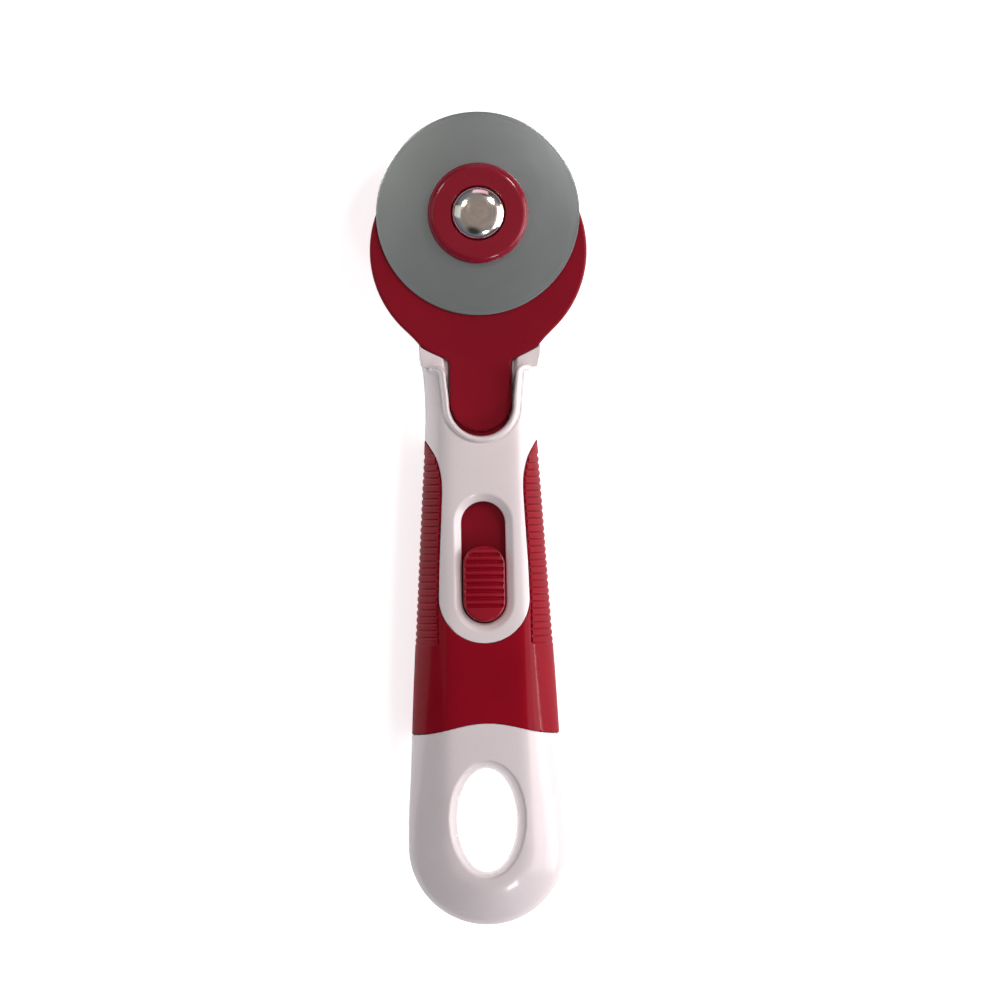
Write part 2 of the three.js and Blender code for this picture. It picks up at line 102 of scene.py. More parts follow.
def spline(points, steps=12):  # a smooth curve through a short list of points, as x and y lists
    p = np.array(points, float)
    p = np.vstack([2 * p[0] - p[1], p, 2 * p[-1] - p[-2]])
    out = []
    for i in range(1, len(p) - 2):
        for t in np.arange(steps) / steps:
            a, b, c, d = p[i - 1:i + 3]
            out.append(0.5 * (2 * b + (c - a) * t + (2 * a - 5 * b + 4 * c - d) * t * t
                              + (3 * b - a - 3 * c + d) * t ** 3))
    out.append(p[-2])
    return np.array(out)


def alongY(points):  # a table of (y, value) as a smooth function of y
    curve = spline(sorted(points))
    return lambda y: np.interp(y, curve[:, 0], curve[:, 1])


# A field is negative inside the plastic. roundMax rounds the edge where two faces meet,
# and roundMin fills the corner between them, as the radii of a moulding do.

def roundMax(a, b, r):
    return np.minimum(np.maximum(a, b), -r) + np.hypot(np.maximum(a + r, 0), np.maximum(b + r, 0))


def roundMin(a, b, r):
    return -roundMax(-a, -b, r)


def slotField(x, y, half, topY, bottomY):
    return np.hypot(x, y - np.clip(y, bottomY + half, topY - half)) - half


def ellipseField(x, y, halfX, halfY):
    k0 = np.hypot(x / halfX, y / halfY)
    k1 = np.hypot(x / halfX ** 2, y / halfY ** 2) + 1e-9
    return k0 * (k0 - 1) / k1


def boxField(x, y, x0, x1, y0, y1):
    dx = np.maximum(x0 - x, x - x1)
    dy = np.maximum(y0 - y, y - y1)
    return np.minimum(np.maximum(dx, dy), 0) + np.hypot(np.maximum(dx, 0), np.maximum(dy, 0))


def slopes(field, p, step=0.02):
    out = np.empty_like(p)
    for axis in range(3):
        q = p.copy()
        q[:, axis] += step
        r = p.copy()
        r[:, axis] -= step
        out[:, axis] = (field(*q.T) - field(*r.T)) / (2 * step)
    return out


def cast(name, field, low, high, cell, look, body, nodes):
    counts = [int(math.ceil((b - a) / cell)) + 1 for a, b in zip(low, high)]
    axes = [a + cell * np.arange(n) for a, n in zip(low, counts)]
    values = field(*np.meshgrid(*axes, indexing="ij"))
    inside = values < 0
    total = np.zeros([n - 1 for n in counts] + [3])
    hits = np.zeros([n - 1 for n in counts])
    crossings = []
    for axis in range(3):
        a = [slice(None)] * 3
        b = [slice(None)] * 3
        a[axis], b[axis] = slice(0, -1), slice(1, None)
        flips = inside[tuple(a)] != inside[tuple(b)]
        at = np.argwhere(flips)
        v0 = values[tuple(a)][flips]
        v1 = values[tuple(b)][flips]
        points = np.stack([axes[k][at[:, k]] for k in range(3)], 1)
        points[:, axis] += cell * v0 / (v0 - v1)
        others = [(axis + 1) % 3, (axis + 2) % 3]
        corners = []
        for du, dv in ((-1, -1), (0, -1), (0, 0), (-1, 0)):
            c = at.copy()
            c[:, others[0]] += du
            c[:, others[1]] += dv
            corners.append(c)
            good = np.all((c >= 0) & (c < np.array(hits.shape)), axis=1)
            np.add.at(total, tuple(c[good].T), points[good])
            np.add.at(hits, tuple(c[good].T), 1)
        crossings.append((corners, v0 < 0))
    used = hits > 0
    index = np.full(hits.shape, -1)
    index[used] = np.arange(used.sum())
    verts = total[used] / hits[used][:, None]
    faces = []
    for corners, outward in crossings:
        quad = np.stack([index[tuple(c.T)] for c in corners], 1)
        quad[~outward] = quad[~outward][:, ::-1]
        faces.append(quad)
    faces = np.vstack(faces)
    for _ in range(4):  # settle every point on the true surface
        value = field(*verts.T)
        slope = slopes(field, verts)
        move = slope * (value / np.maximum((slope ** 2).sum(1), 0.25))[:, None]
        length = np.linalg.norm(move, axis=1)[:, None]
        verts -= move * np.minimum(1, 0.4 * cell / np.maximum(length, 1e-9))
    normals = slopes(field, verts, 0.06)
    normals /= np.maximum(np.linalg.norm(normals, axis=1), 1e-9)[:, None]
    mesh = bpy.data.meshes.new(name)
    mesh.vertices.add(len(verts))
    mesh.vertices.foreach_set("co", toWorld(verts).astype(np.float32).ravel())
    mesh.loops.add(faces.size)
    mesh.loops.foreach_set("vertex_index", faces.astype(np.int32).ravel())
    mesh.polygons.add(len(faces))
    mesh.polygons.foreach_set("loop_start", np.arange(0, faces.size, 4, dtype=np.int32))
    mesh.polygons.foreach_set("use_smooth", np.ones(len(faces), bool))
    mesh.update(calc_edges=True)
    mesh.normals_split_custom_set_from_vertices([tuple(n) for n in normals])
    obj = bpy.data.objects.new(name, mesh)
    bpy.context.scene.collection.objects.link(obj)
    print(name, len(faces), "faces")
    return dress(obj, look, body, nodes)



studio = {
    "lookAt": (3.9, -63.45, 12.0),  # from the blade's axis, mm
    "distance": 2.5,
    "lean": -1.6,
    "viewWidth": 0.2211,
    "roll": -0.93,
    "sensor": 36.0,
    "zenith": (0.30, 0.268, 0.262),
    "middle": (0.13, 0.17, 0.23),
    "horizon": (0.10, 0.06, 0.10),
    "worldStrength": 1.0,
    "darkPatches": [(0.35, 0.77, 0.54), (-0.86, 0.18, 0.48), (-0.16, -0.655, 0.74)],  # furniture round the table
    "floorColour": (0.93, 0.93, 0.935),
    "floorGlow": 0.64,
}


def aim(obj, place, target):
    obj.location = place
    obj.rotation_euler = (Vector(target) - Vector(place)).to_track_quat("-Z", "Y").to_euler()


def softbox(name, place, target, size, power, colour):
    light = bpy.data.lights.new(name, "AREA")
    light.shape = "RECTANGLE"
    light.size, light.size_y = size
    light.energy = power
    light.color = colour
    obj = bpy.data.objects.new(name, light)
    bpy.context.scene.collection.objects.link(obj)
    aim(obj, place, target)


def spot(name, place, target, power, colour):
    light = bpy.data.lights.new(name, "SPOT")
    light.energy = power
    light.color = colour
    light.spot_size = math.radians(28)
    light.spot_blend = 1.0
    light.shadow_soft_size = 0.06
    obj = bpy.data.objects.new(name, light)
    bpy.context.scene.collection.objects.link(obj)
    aim(obj, place, target)


def makeStudio():
    scene = bpy.context.scene
    scene.view_settings.view_transform = "Standard"
    cam = bpy.data.cameras.new("camera")
    cam.sensor_width = studio["sensor"]
    cam.lens = studio["sensor"] * studio["distance"] / studio["viewWidth"]
    obj = bpy.data.objects.new("camera", cam)
    scene.collection.objects.link(obj)
    x, y, z = studio["lookAt"]
    turn = Matrix.Rotation(math.radians(studio["roll"]), 3, "Z") @ Matrix.Rotation(math.radians(studio["lean"]), 3, "Y")
    obj.location = Vector((x * mm, y * mm + axisY, z * mm)) + turn @ Vector((0, 0, studio["distance"]))
    obj.rotation_euler = turn.to_euler()
    scene.camera = obj

    world = bpy.data.worlds.new("studio")
    scene.world = world
    world.use_nodes = True
    tree = world.node_tree
    background = tree.nodes["Background"]
    background.inputs["Strength"].default_value = studio["worldStrength"]
    where = tree.nodes.new("ShaderNodeTexCoord")
    apart = tree.nodes.new("ShaderNodeSeparateXYZ")
    ramp = tree.nodes.new("ShaderNodeValToRGB")
    stops = ramp.color_ramp.elements
    stops[0].position, stops[0].color = 0.12, (*studio["horizon"], 1)
    stops[1].position, stops[1].color = 0.97, (*studio["zenith"], 1)
    stops.new(0.45).color = (*studio["middle"], 1)
    tree.links.new(where.outputs["Generated"], apart.inputs[0])
    tree.links.new(apart.outputs["Z"], ramp.inputs[0])
    shade = ramp.outputs[0]
    for direction in studio["darkPatches"]:
        apart = tree.nodes.new("ShaderNodeVectorMath")
        apart.operation = "DISTANCE"
        apart.inputs[1].default_value = direction
        tree.links.new(where.outputs["Generated"], apart.inputs[0])
        edge = tree.nodes.new("ShaderNodeMapRange")
        for key, value in (("From Min", 0.16), ("From Max", 0.34), ("To Min", 0.16), ("To Max", 1.0)):
            edge.inputs[key].default_value = value
        tree.links.new(apart.outputs["Value"], edge.inputs["Value"])
        darker = tree.nodes.new("ShaderNodeVectorMath")
        darker.operation = "SCALE"
        tree.links.new(shade, darker.inputs[0])
        tree.links.new(edge.outputs["Result"], darker.inputs["Scale"])
        shade = darker.outputs[0]
    tree.links.new(shade, background.inputs["Color"])

    softbox("keyRight", (0.62, -0.10, 0.46), (0, -0.02, 0.01), (0.75, 0.28), 1.8, (1.0, 0.80, 0.84))
    softbox("sideGlow", (0.80, -0.05, 0.20), (0, -0.02, 0.01), (0.80, 0.30), 2.6, (0.92, 1.0, 1.0))
    softbox("streak", (0.90, -0.08, 0.13), (0, -0.04, 0.01), (0.60, 0.03), 1.1, (1, 1, 1))
    softbox("fillLeft", (-0.7, 0.15, 0.5), (0, 0, 0.01), (0.4, 0.6), 0.45, (0.85, 1.0, 0.95))
    softbox("headEnd", (0.1, 0.75, 0.40), (0, 0, 0.01), (0.5, 0.3), 0.45, (1.0, 0.6, 0.75))
    softbox("tailWindow", (0.25, -0.55, 0.55), (0, -0.05, 0.01), (0.12, 0.16), 0.75, (1, 1, 1))
    spot("headSpot", (0.32, 0.36, 0.50), (0, 0.05, 0.01), 4.3, (1.0, 0.93, 0.88))
    spot("leftSpot", (-0.30, 0.30, 0.55), (0, 0.03, 0.01), 1.8, (1.0, 0.9, 0.8))

    mesh = bpy.data.meshes.new("floor")
    half = 1.5
    mesh.from_pydata([(-half, -half, 0), (half, -half, 0), (half, half, 0), (-half, half, 0)], [], [(0, 1, 2, 3)])
    floor = bpy.data.objects.new("floor", mesh)
    scene.collection.objects.link(floor)
    look = bpy.data.materials.new("paleFloor")
    look.use_nodes = True
    shader = look.node_tree.nodes["Principled BSDF"]
    shader.inputs["Base Color"].default_value = (*studio["floorColour"], 1)
    shader.inputs["Roughness"].default_value = 0.9
    shader.inputs["Specular IOR Level"].default_value = 0.1
    shader.inputs["Emission Color"].default_value = (1, 1, 1, 1)
    shader.inputs["Emission Strength"].default_value = studio["floorGlow"]
    mesh.materials.append(look)
    print("studio set")



class Look:
    def __init__(self, name):
        self.material = bpy.data.materials.new(name)
        self.material.use_nodes = True
        self.tree = self.material.node_tree
        self.shader = self.tree.nodes["Principled BSDF"]
        self.where = self.node("ShaderNodeTexCoord").outputs["Object"]
        self.column = 0

    def node(self, kind, **inputs):
        made = self.tree.nodes.new(kind)
        for key, value in inputs.items():
            socket = made.inputs[key.replace("_", " ")]
            if isinstance(value, bpy.types.NodeSocket):
                self.tree.links.new(value, socket)
            else:
                socket.default_value = value
        return made

    def stretched(self, scale=(1, 1, 1), turn=(0, 0, 0), shift=(0, 0, 0)):
        made = self.node("ShaderNodeMapping", Vector=self.where)
        made.inputs["Scale"].default_value = scale
        made.inputs["Rotation"].default_value = turn
        made.inputs["Location"].default_value = shift
        return made.outputs["Vector"]

    def noise(self, scale, detail=2.0, roughness=0.5, where=None):
        made = self.node("ShaderNodeTexNoise", Vector=where or self.where, Scale=scale, Detail=detail,
                         Roughness=roughness)
        return made.outputs["Fac"]

    def remap(self, value, low, high, fromLow=0.0, fromHigh=1.0):
        made = self.node("ShaderNodeMapRange", Value=value)
        for key, number in (("From Min", fromLow), ("From Max", fromHigh), ("To Min", low), ("To Max", high)):
            made.inputs[key].default_value = number
        return made.outputs["Result"]

    def mixColour(self, factor, a, b):
        made = self.tree.nodes.new("ShaderNodeMix")
        made.data_type = "RGBA"
        self.put(factor, made.inputs["Factor"])
        self.put(a, made.inputs["A"] if made.inputs["A"].type == "RGBA" else made.inputs[6])
        self.put(b, made.inputs[7])
        return made.outputs[2]

    def put(self, value, socket):
        if isinstance(value, bpy.types.NodeSocket):
            self.tree.links.new(value, socket)
        elif socket.type == "RGBA":
            socket.default_value = (*value[:3], 1)
        else:
            socket.default_value = value

    def maths(self, kind, a, b=0.0):
        made = self.tree.nodes.new("ShaderNodeMath")
        made.operation = kind
        self.put(a, made.inputs[0])
        self.put(b, made.inputs[1])
        return made.outputs[0]

    def bump(self, height, distance, strength=1.0, after=None):
        made = self.node("ShaderNodeBump", Height=height, Strength=strength, Distance=distance)
        if after is not None:
            self.tree.links.new(after, made.inputs["Normal"])
        return made.outputs["Normal"]

    def finish(self, colour, roughness, normal, **fixed):
        self.put(colour, self.shader.inputs["Base Color"])
        self.put(roughness, self.shader.inputs["Roughness"])
        if normal is not None:
            self.tree.links.new(normal, self.shader.inputs["Normal"])
        for key, value in fixed.items():
            self.shader.inputs[key.replace("_", " ")].default_value = value
        return self.material


def scaled(colour, factor):
    return tuple(min(1, c * factor) for c in colour)


def mouldedPlastic(name, settings):
    look = Look(name)
    colour = settings["colour"]
    rough = settings["roughness"]
    cloud = look.noise(55, 3, 0.55)  # slow drift in the pigment
    shade = look.mixColour(look.remap(cloud, 0, 1, 0.3, 0.7), scaled(colour, 1 - settings["drift"]),
                           scaled(colour, 1 + settings["drift"]))
    specks = look.noise(2600, 1, 0.5)
    shade = look.mixColour(look.remap(specks, 0, settings["specks"], 0.66, 0.8), shade, settings["speckColour"])
    grain = look.noise(settings["grainScale"], 3, 0.6)
    handled = look.noise(140, 4, 0.6)  # where fingers have polished or dulled it
    scratchPlace = look.stretched((1, 0.05, 1), (0, 0, 0.5))
    scratch = look.noise(2200, 2, 0.7, scratchPlace)
    scratchMask = look.remap(scratch, 0, 1, 0.70, 0.78)
    patches = look.remap(look.noise(90, 2), 0, 1, 0.5, 0.62)
    scratches = look.maths("MULTIPLY", scratchMask, patches)
    gloss = look.remap(handled, rough - settings["spread"], rough + settings["spread"], 0.3, 0.7)
    gloss = look.maths("ADD", gloss, look.maths("MULTIPLY", scratches, settings["scratchDull"]))
    normal = look.bump(grain, settings["grainDepth"] * mm, 1.0)
    normal = look.bump(look.noise(70, 2), settings["sink"] * mm, 1.0, normal)  # faint sink marks
    normal = look.bump(scratches, -0.004 * mm, 1.0, normal)
    return look.finish(shade, gloss, normal, IOR=1.49, Specular_IOR_Level=settings["specular"],
                       Coat_Weight=settings["coat"], Coat_Roughness=settings["coatRoughness"])


plastics = {
    "white": {"colour": (0.84, 0.775, 0.77), "roughness": 0.24, "spread": 0.04, "drift": 0.02, "specks": 0.35,
              "speckColour": (0.55, 0.5, 0.48), "grainScale": 3200, "grainDepth": 0.003, "sink": 0.02,
              "scratchDull": 0.12, "coat": 0.5, "coatRoughness": 0.06, "specular": 0.4},
    "grip": {"colour": (0.285, 0.0024, 0.0125), "roughness": 0.32, "spread": 0.06, "drift": 0.08, "specks": 0.3,
             "speckColour": (0.27, 0.012, 0.025), "grainScale": 2400, "grainDepth": 0.008, "sink": 0.03,
             "scratchDull": 0.1, "coat": 0.15, "coatRoughness": 0.09, "specular": 0.04},
    "guard": {"colour": (0.235, 0.006, 0.0165), "roughness": 0.32, "spread": 0.06, "drift": 0.07, "specks": 0.3,
              "speckColour": (0.28, 0.013, 0.03), "grainScale": 2800, "grainDepth": 0.005, "sink": 0.02,
              "scratchDull": 0.15, "coat": 0.0, "coatRoughness": 0.15, "specular": 0.12},
    "gloss": {"colour": (0.25, 0.006, 0.02), "roughness": 0.26, "spread": 0.05, "drift": 0.06, "specks": 0.25,
              "speckColour": (0.33, 0.012, 0.035), "grainScale": 3000, "grainDepth": 0.003, "sink": 0.015,
              "scratchDull": 0.12, "coat": 0.5, "coatRoughness": 0.05, "specular": 0.15},
    "button": {"colour": (0.32, 0.003, 0.015), "roughness": 0.26, "spread": 0.05, "drift": 0.06, "specks": 0.25,
              "speckColour": (0.33, 0.012, 0.035), "grainScale": 3000, "grainDepth": 0.003, "sink": 0.015,
              "scratchDull": 0.12, "coat": 0.5, "coatRoughness": 0.05, "specular": 0.15},
}


def metal(name, colour, roughness, lines, lineDepth, radial, contrast=0.09, groundFrom=None):
    look = Look(name)
    if radial:  # turned or ground round the blade's axis
        centre = look.stretched(shift=(0, -axisY, 0))
        apart = look.node("ShaderNodeSeparateXYZ", Vector=centre)
        x, y = apart.outputs["X"], apart.outputs["Y"]
        reach = look.maths("SQRT", look.maths("ADD", look.maths("MULTIPLY", x, x), look.maths("MULTIPLY", y, y)))
        turn = look.maths("ARCTAN2", y, x)
        place = look.node("ShaderNodeCombineXYZ", X=reach, Y=look.maths("MULTIPLY", turn, 0.0006)).outputs[0]
    else:
        place = look.stretched((1, 0.03, 1))
    brushed = look.noise(lines, 4, 0.65, place)
    stain = look.noise(45, 3, 0.55)
    tone = look.mixColour(look.remap(brushed, 0, 1, 0.3, 0.7), scaled(colour, 1 - contrast),
                          scaled(colour, 1 + contrast))
    tone = look.mixColour(look.remap(stain, 0, contrast * 3, 0.5, 0.75), tone, scaled(colour, 0.78))
    gloss = look.remap(brushed, roughness - contrast, roughness + contrast, 0.3, 0.7)
    gloss = look.maths("ADD", gloss, look.remap(stain, 0, 0.07, 0.45, 0.75))
    if groundFrom:  # the sharpened band is brighter and smoother
        ground = look.remap(reach, 0, 1, (groundFrom - 0.05) * mm, (groundFrom + 0.05) * mm)
        tone = look.mixColour(ground, tone, scaled(colour, 1.25))
        gloss = look.maths("SUBTRACT", gloss, look.maths("MULTIPLY", ground, 0.1))
    normal = look.bump(brushed, lineDepth * mm, 1.0)
    normal = look.bump(look.noise(60, 2), 0.008 * mm, 1.0, normal)
    return look.finish(tone, gloss, normal, Metallic=1.0)


looks = {
    "white": mouldedPlastic("whitePlastic", plastics["white"]),
    "grip": mouldedPlastic("crimsonGrip", plastics["grip"]),
    "guard": mouldedPlastic("crimsonGuard", plastics["guard"]),
    "gloss": mouldedPlastic("crimsonGloss", plastics["gloss"]),
    "button": mouldedPlastic("crimsonButton", plastics["button"]),
    "blade": metal("groundBlade", (0.39, 0.44, 0.44), 0.34, 3800, 0.0012, True, 0.03, 22.0),
    "steel": metal("zincSteel", (0.58, 0.57, 0.55), 0.33, 2500, 0.004, False),
    "chrome": metal("chromePlate", (0.86, 0.77, 0.67), 0.13, 900, 0.0008, True),
}


handle = {
    "halfWidths": [(-24, 13.5), (-31, 13.2), (-36.1, 12.5), (-43, 12.2), (-49.6, 12.4), (-63.6, 13.3),
                   (-83.5, 14.5), (-103.5, 15.7), (-123.5, 16.7), (-133, 17.25), (-140, 17.4)],
    "frontHeights": [(-24, 14.2), (-40, 14.5), (-55, 15.6), (-80, 16.6), (-105, 16.75), (-125, 16), (-158, 14.2)],
    "tailCentreY": -140.0,
    "tailRadius": 17.4,
    "shoulderZ": 9.0,
    "flatHalf": (8.0, 8.9),  # half-width of the flat front face, at the fork and at the tail
    "facetPower": 1.3,  # 1 cuts the shoulders beside it flat, 2 rounds them as an ellipse
    "facetRound": 1.6,
    "backShoulder": 4.5,
    "backShoulderZ": 5.5,
    "partingZ": 7.5,
    "partingGap": 0.08,
    "edge": 0.3,
    "skin": 1.5,
    "wall": 2.3,
    "seam": 0.02,  # half the gap between crimson and white
    "frontY": -33.6,
    "cell": 0.34,
}
grip = {
    "panel": [(-40, 16), (-46.6, 14.3), (-49.5, 12.7), (-51.6, 11.4), (-53.8, 10.2), (-56.4, 9.42), (-59.8, 9.0),
              (-66, 9.2), (-77.5, 9.8), (-85, 10.05)],
    "panelEndY": -85.0,
    "panelRadius": 10.05,
    "topY": -50.0,
    "bottomY": -115.1,
    "bottomRise": 2.4,
    "ribsFromY": -53.8,
    "ribsToY": -94.6,
    "ribPitch": 1.53,
    "ribBorder": 0.45,
    "ribInnerX": 10.2,
    "ribSink": 0.22,
    "ribSlope": 0.4,
}
window = {
    "halfWidths": [(-42.2, 7.05), (-40, 7.22), (-38, 7.45), (-36, 7.65), (-34.5, 7.8), (-28, 8.3), (-20, 9.0)],
    "endY": -42.2,
    "endRadius": 7.05,
    "topY": -33.4,
    "corner": 2.0,  # rounding where the lip turns outwards
    "beadWidth": 1.4,
    "beadRise": 0.75,
    "grooveDepth": 0.2,
    "grooveWidth": 0.26,
    "floorZ": 9.45,
    "beadTopsX": 11.3,
}
slider = {"half": 4.87, "topY": -63.7, "bottomY": -90.6, "dish": 1.85, "dishDepth": 1.3, "edge": 0.14}
hangHole = {"y": -134.3, "frontX": 8.3, "frontY": 12.8, "middleX": 6.65, "middleY": 11.5, "edge": 0.35}

arm = {
    "halfWidths": [(-50, 9.4), (-46, 9.4), (-36, 9.4)],
    "upper": [(-33.5, 12.8), (-29.6, 13.45), (-22, 12.75), (-10, 10.9), (-3, 10.15), (0, 10)],
    "endRadius": 10.0,
    "neckHole": 3.15,
    "cheekGap": 0.15,
    "cheekSink": 1.3,  # beside the guard's neck it lies this much lower
    "cheekZ": 11.9,
    "cheekEndY": (-38.0, -41.0),  # it thins out between these
}
screws = {"places": [(8.8, -56), (-8.8, -56), (9.3, -107), (-9.3, -107), (0, -152.2)],
          "headRadius": 2.6, "sinkRadius": 2.8, "sinkDepth": 2.9, "postRadius": 3.0}

halfWidthAt = alongY(handle["halfWidths"])
frontAt = alongY(handle["frontHeights"])
panelAt = alongY(grip["panel"])
windowAt = alongY(window["halfWidths"])
upperArmAt = alongY(arm["upper"])


def flatHalfAt(y):
    share = np.clip((handle["frontY"] - y) / (handle["frontY"] - handle["tailCentreY"]), 0, 1)
    return handle["flatHalf"][0] + (handle["flatHalf"][1] - handle["flatHalf"][0]) * share


def outlineField(x, y):
    straight = (np.abs(x) - halfWidthAt(y)) * 0.998
    tail = np.hypot(x, y - handle["tailCentreY"]) - handle["tailRadius"]
    return np.where(y < handle["tailCentreY"], tail, straight)


def bodyField(x, y, z, less=0.0):
    deep = -outlineField(x, y) - less
    power = handle["facetPower"]
    a = halfWidthAt(y) - flatHalfAt(y)
    b = frontAt(y) - less - handle["shoulderZ"]
    u = 0.5 * (a - deep + np.hypot(a - deep, handle["facetRound"])) / a
    v = np.maximum(z - handle["shoulderZ"], 1e-6) / b
    k = (u ** power + v ** power) ** (1 / power)
    front = (k - 1) * k ** (power - 1) / np.hypot(u ** (power - 1) / a, v ** (power - 1) / b)
    a2 = handle["backShoulder"]
    b2 = handle["backShoulderZ"] - less
    u2 = np.maximum(a2 - deep, 0) / a2
    v2 = np.maximum(handle["backShoulderZ"] - z, 1e-6) / b2
    k2 = np.hypot(u2, v2)
    back = k2 * (k2 - 1) / np.hypot(u2 / a2, v2 / b2)
    return np.where(z > handle["shoulderZ"], front, np.where(z < handle["backShoulderZ"], back, -deep))


def panelField(x, y):
    side = (np.abs(x) - panelAt(y)) * 0.95
    end = np.hypot(x, y - grip["panelEndY"]) - grip["panelRadius"]
    return np.where(y < grip["panelEndY"], end, side)


def bandEdge(x):
    rise = 0.5 + 0.5 * np.cos(np.pi * np.minimum(np.abs(x) / 15.5, 1))
    return grip["bottomY"] + grip["bottomRise"] * rise


def gripField(x, y, front):  # the crimson zone seen from above
    band = np.maximum(bandEdge(x) - y, y - grip["topY"])
    if not front:
        return band
    return np.maximum(np.maximum(bandEdge(x) - y, y - grip["topY"] - 4), -panelField(x, y))


def windowField(x, y):
    side = (np.abs(x) - windowAt(y)) * 0.99
    end = np.hypot(x, y - window["endY"]) - window["endRadius"]
    return np.where(y < window["endY"], end, side)


def holeField(x, y, z):
    middle = handle["partingZ"]
    flare = np.clip(np.abs(z - middle) / (middle + 0.2), 0, 1.3) ** 2.2
    halfX = hangHole["middleX"] + (hangHole["frontX"] - hangHole["middleX"]) * flare
    halfY = hangHole["middleY"] + (hangHole["frontY"] - hangHole["middleY"]) * flare
    return ellipseField(x, y - hangHole["y"], halfX, halfY)


def frontShellField(x, y, z):
    body = bodyField(x, y, z)
    hole = holeField(x, y, z)
    body = roundMax(body, -hole, hangHole["edge"])
    # raised lip round the window, its tops turned outwards
    win = windowField(x, y)
    half = window["beadWidth"] / 2
    win = roundMin(win, window["topY"] - y, window["corner"])
    band = roundMax(np.abs(win - half) - half, np.abs(x) - window["beadTopsX"], 0.8)
    skinField = bodyField(x, y, z)
    groove = (band - 0.8 * window["grooveWidth"]) / window["grooveWidth"]
    body = body + window["grooveDepth"] * np.exp(-groove * groove)
    ridge = np.hypot(np.maximum(band + half, 0), np.maximum(skinField, 0) * half / window["beadRise"]) - half
    body = roundMin(body, np.maximum(ridge, -skinField - 3), 0.1)
    # dished ring round the slider's slot
    slot = slotField(x, y, slider["half"], slider["topY"], slider["bottomY"])
    slope = slider["dishDepth"] / slider["dish"]
    cone = (z - frontAt(y) + slider["dishDepth"] - slope * slot) / math.hypot(1, slope)
    body = roundMax(body, cone, slider["edge"])
    body = roundMax(body, -slot, 0.2)
    # the tongue's window
    body = roundMax(body, np.minimum(-win, z - window["floorZ"]), 0.35)
    body = roundMax(body, y - handle["frontY"] - 0.25, 0.3)
    # set back under the grip
    zone = gripField(x, y, True) - handle["seam"]
    under = bodyField(x, y, z, handle["skin"] + 0.15)
    body = roundMax(body, -np.maximum(zone, -under), 0.1)
    body = np.maximum(body, -frontHollow(x, y, z))
    return roundMax(body, handle["partingZ"] + handle["partingGap"] - z, handle["edge"])


def insideField(x, y, z):  # the space inside the walls, clear of the hanging hole
    around = ellipseField(x, y - hangHole["y"], 10.4, 15)
    return np.maximum(bodyField(x, y, z, handle["skin"] + handle["wall"]), -around)


def postField(x, y):
    return np.min([np.hypot(x - sx, y - sy) for sx, sy in screws["places"]], axis=0) - screws["postRadius"]


def frontHollow(x, y, z):  # with a pocket for the arm and a channel for the link
    inside = np.maximum(insideField(x, y, z), np.maximum(z - 12.6, y + 60))
    pocket = np.maximum(boxField(x, y, -9.8, 9.8, -54, -20), z - 11.1)
    channel = np.maximum(boxField(x, y, -6.6, 6.6, -101.5, -53.3), z - top("slider_link") - 0.1)
    return np.minimum(np.maximum(np.minimum(inside, pocket), -postField(x, y)), channel)


def frontGripField(x, y, z):
    body = bodyField(x, y, z)
    zone = gripField(x, y, True) + handle["seam"]
    ribs = ribZoneField(x, y)
    solid = roundMax(body + ribSinkAt(ribs), zone, 0.1)
    solid = np.maximum(solid, -(bodyField(x, y, z, handle["skin"])))
    return roundMax(solid, handle["partingZ"] + handle["partingGap"] - z, 0.2)


def ribSinkAt(zone):  # how far the ground between the ribs is set back
    share = np.clip(0.5 - zone / grip["ribSlope"], 0, 1)
    return grip["ribSink"] * share * share * (3 - 2 * share)


def ribZoneField(x, y):
    along = np.maximum(grip["ribsToY"] - 0.5 - y, y - grip["ribsFromY"] - 0.5)
    across = np.maximum(grip["ribBorder"] - panelField(x, y), grip["ribInnerX"] - np.abs(x) - 5 * (y > -80))
    return roundMax(along, across, 0.3)


def backGripField(x, y, z):
    body = bodyField(x, y, z)
    along = np.maximum(grip["ribsToY"] - 0.5 - y, y - grip["ribsFromY"] - 0.5)
    ribs = roundMax(along, halfWidthAt(y) - 3.9 - np.abs(x), 0.3)
    solid = roundMax(body + ribSinkAt(ribs), gripField(x, y, False) + handle["seam"], 0.1)
    solid = np.maximum(solid, -(bodyField(x, y, z, handle["skin"])))
    solid = roundMax(solid, z - handle["partingZ"] + handle["partingGap"], 0.2)
    for sx, sy in screws["places"]:
        solid = roundMax(solid, 3.15 - np.hypot(x - sx, y - sy), 0.25)
    return solid


def armField(x, y, z):
    side = np.abs(x) - upperArmAt(y)
    end = np.hypot(x, y) - arm["endRadius"]
    flat = np.maximum(np.where(y > 0, end, side), -33.3 - y)
    flat = roundMin(flat, boxField(np.abs(x), y, -1, 9.4, -49.9, -30), 0.4)
    low, high = 7.0, top("back_shell")
    return roundMax(flat, np.maximum(z - high, low - z), 0.45)


def backShellField(x, y, z):
    body = bodyField(x, y, z)
    body = roundMax(body, y + 30.6, 1.4)
    body = roundMax(body, -holeField(x, y, z), hangHole["edge"])
    hollow = np.maximum(np.maximum(insideField(x, y, z), y + 44), -postField(x, y))
    body = np.maximum(body, -hollow)
    body = roundMax(body, z - handle["partingZ"] + handle["partingGap"], handle["edge"])
    zone = gripField(x, y, False) - handle["seam"]
    body = roundMax(body, -np.maximum(zone, -bodyField(x, y, z, handle["skin"] + 0.15)), 0.1)
    body = roundMin(body, armField(x, y, z), 1.0)
    body = roundMax(body, -boxField(x, y, -arm["neckHole"], arm["neckHole"], -arm["neckHole"], arm["neckHole"]), 0.2)
    for sx, sy in screws["places"]:
        well = np.maximum(np.hypot(x - sx, y - sy) - screws["sinkRadius"], z - screws["sinkDepth"])
        body = roundMax(body, -well, 0.25)
    return body


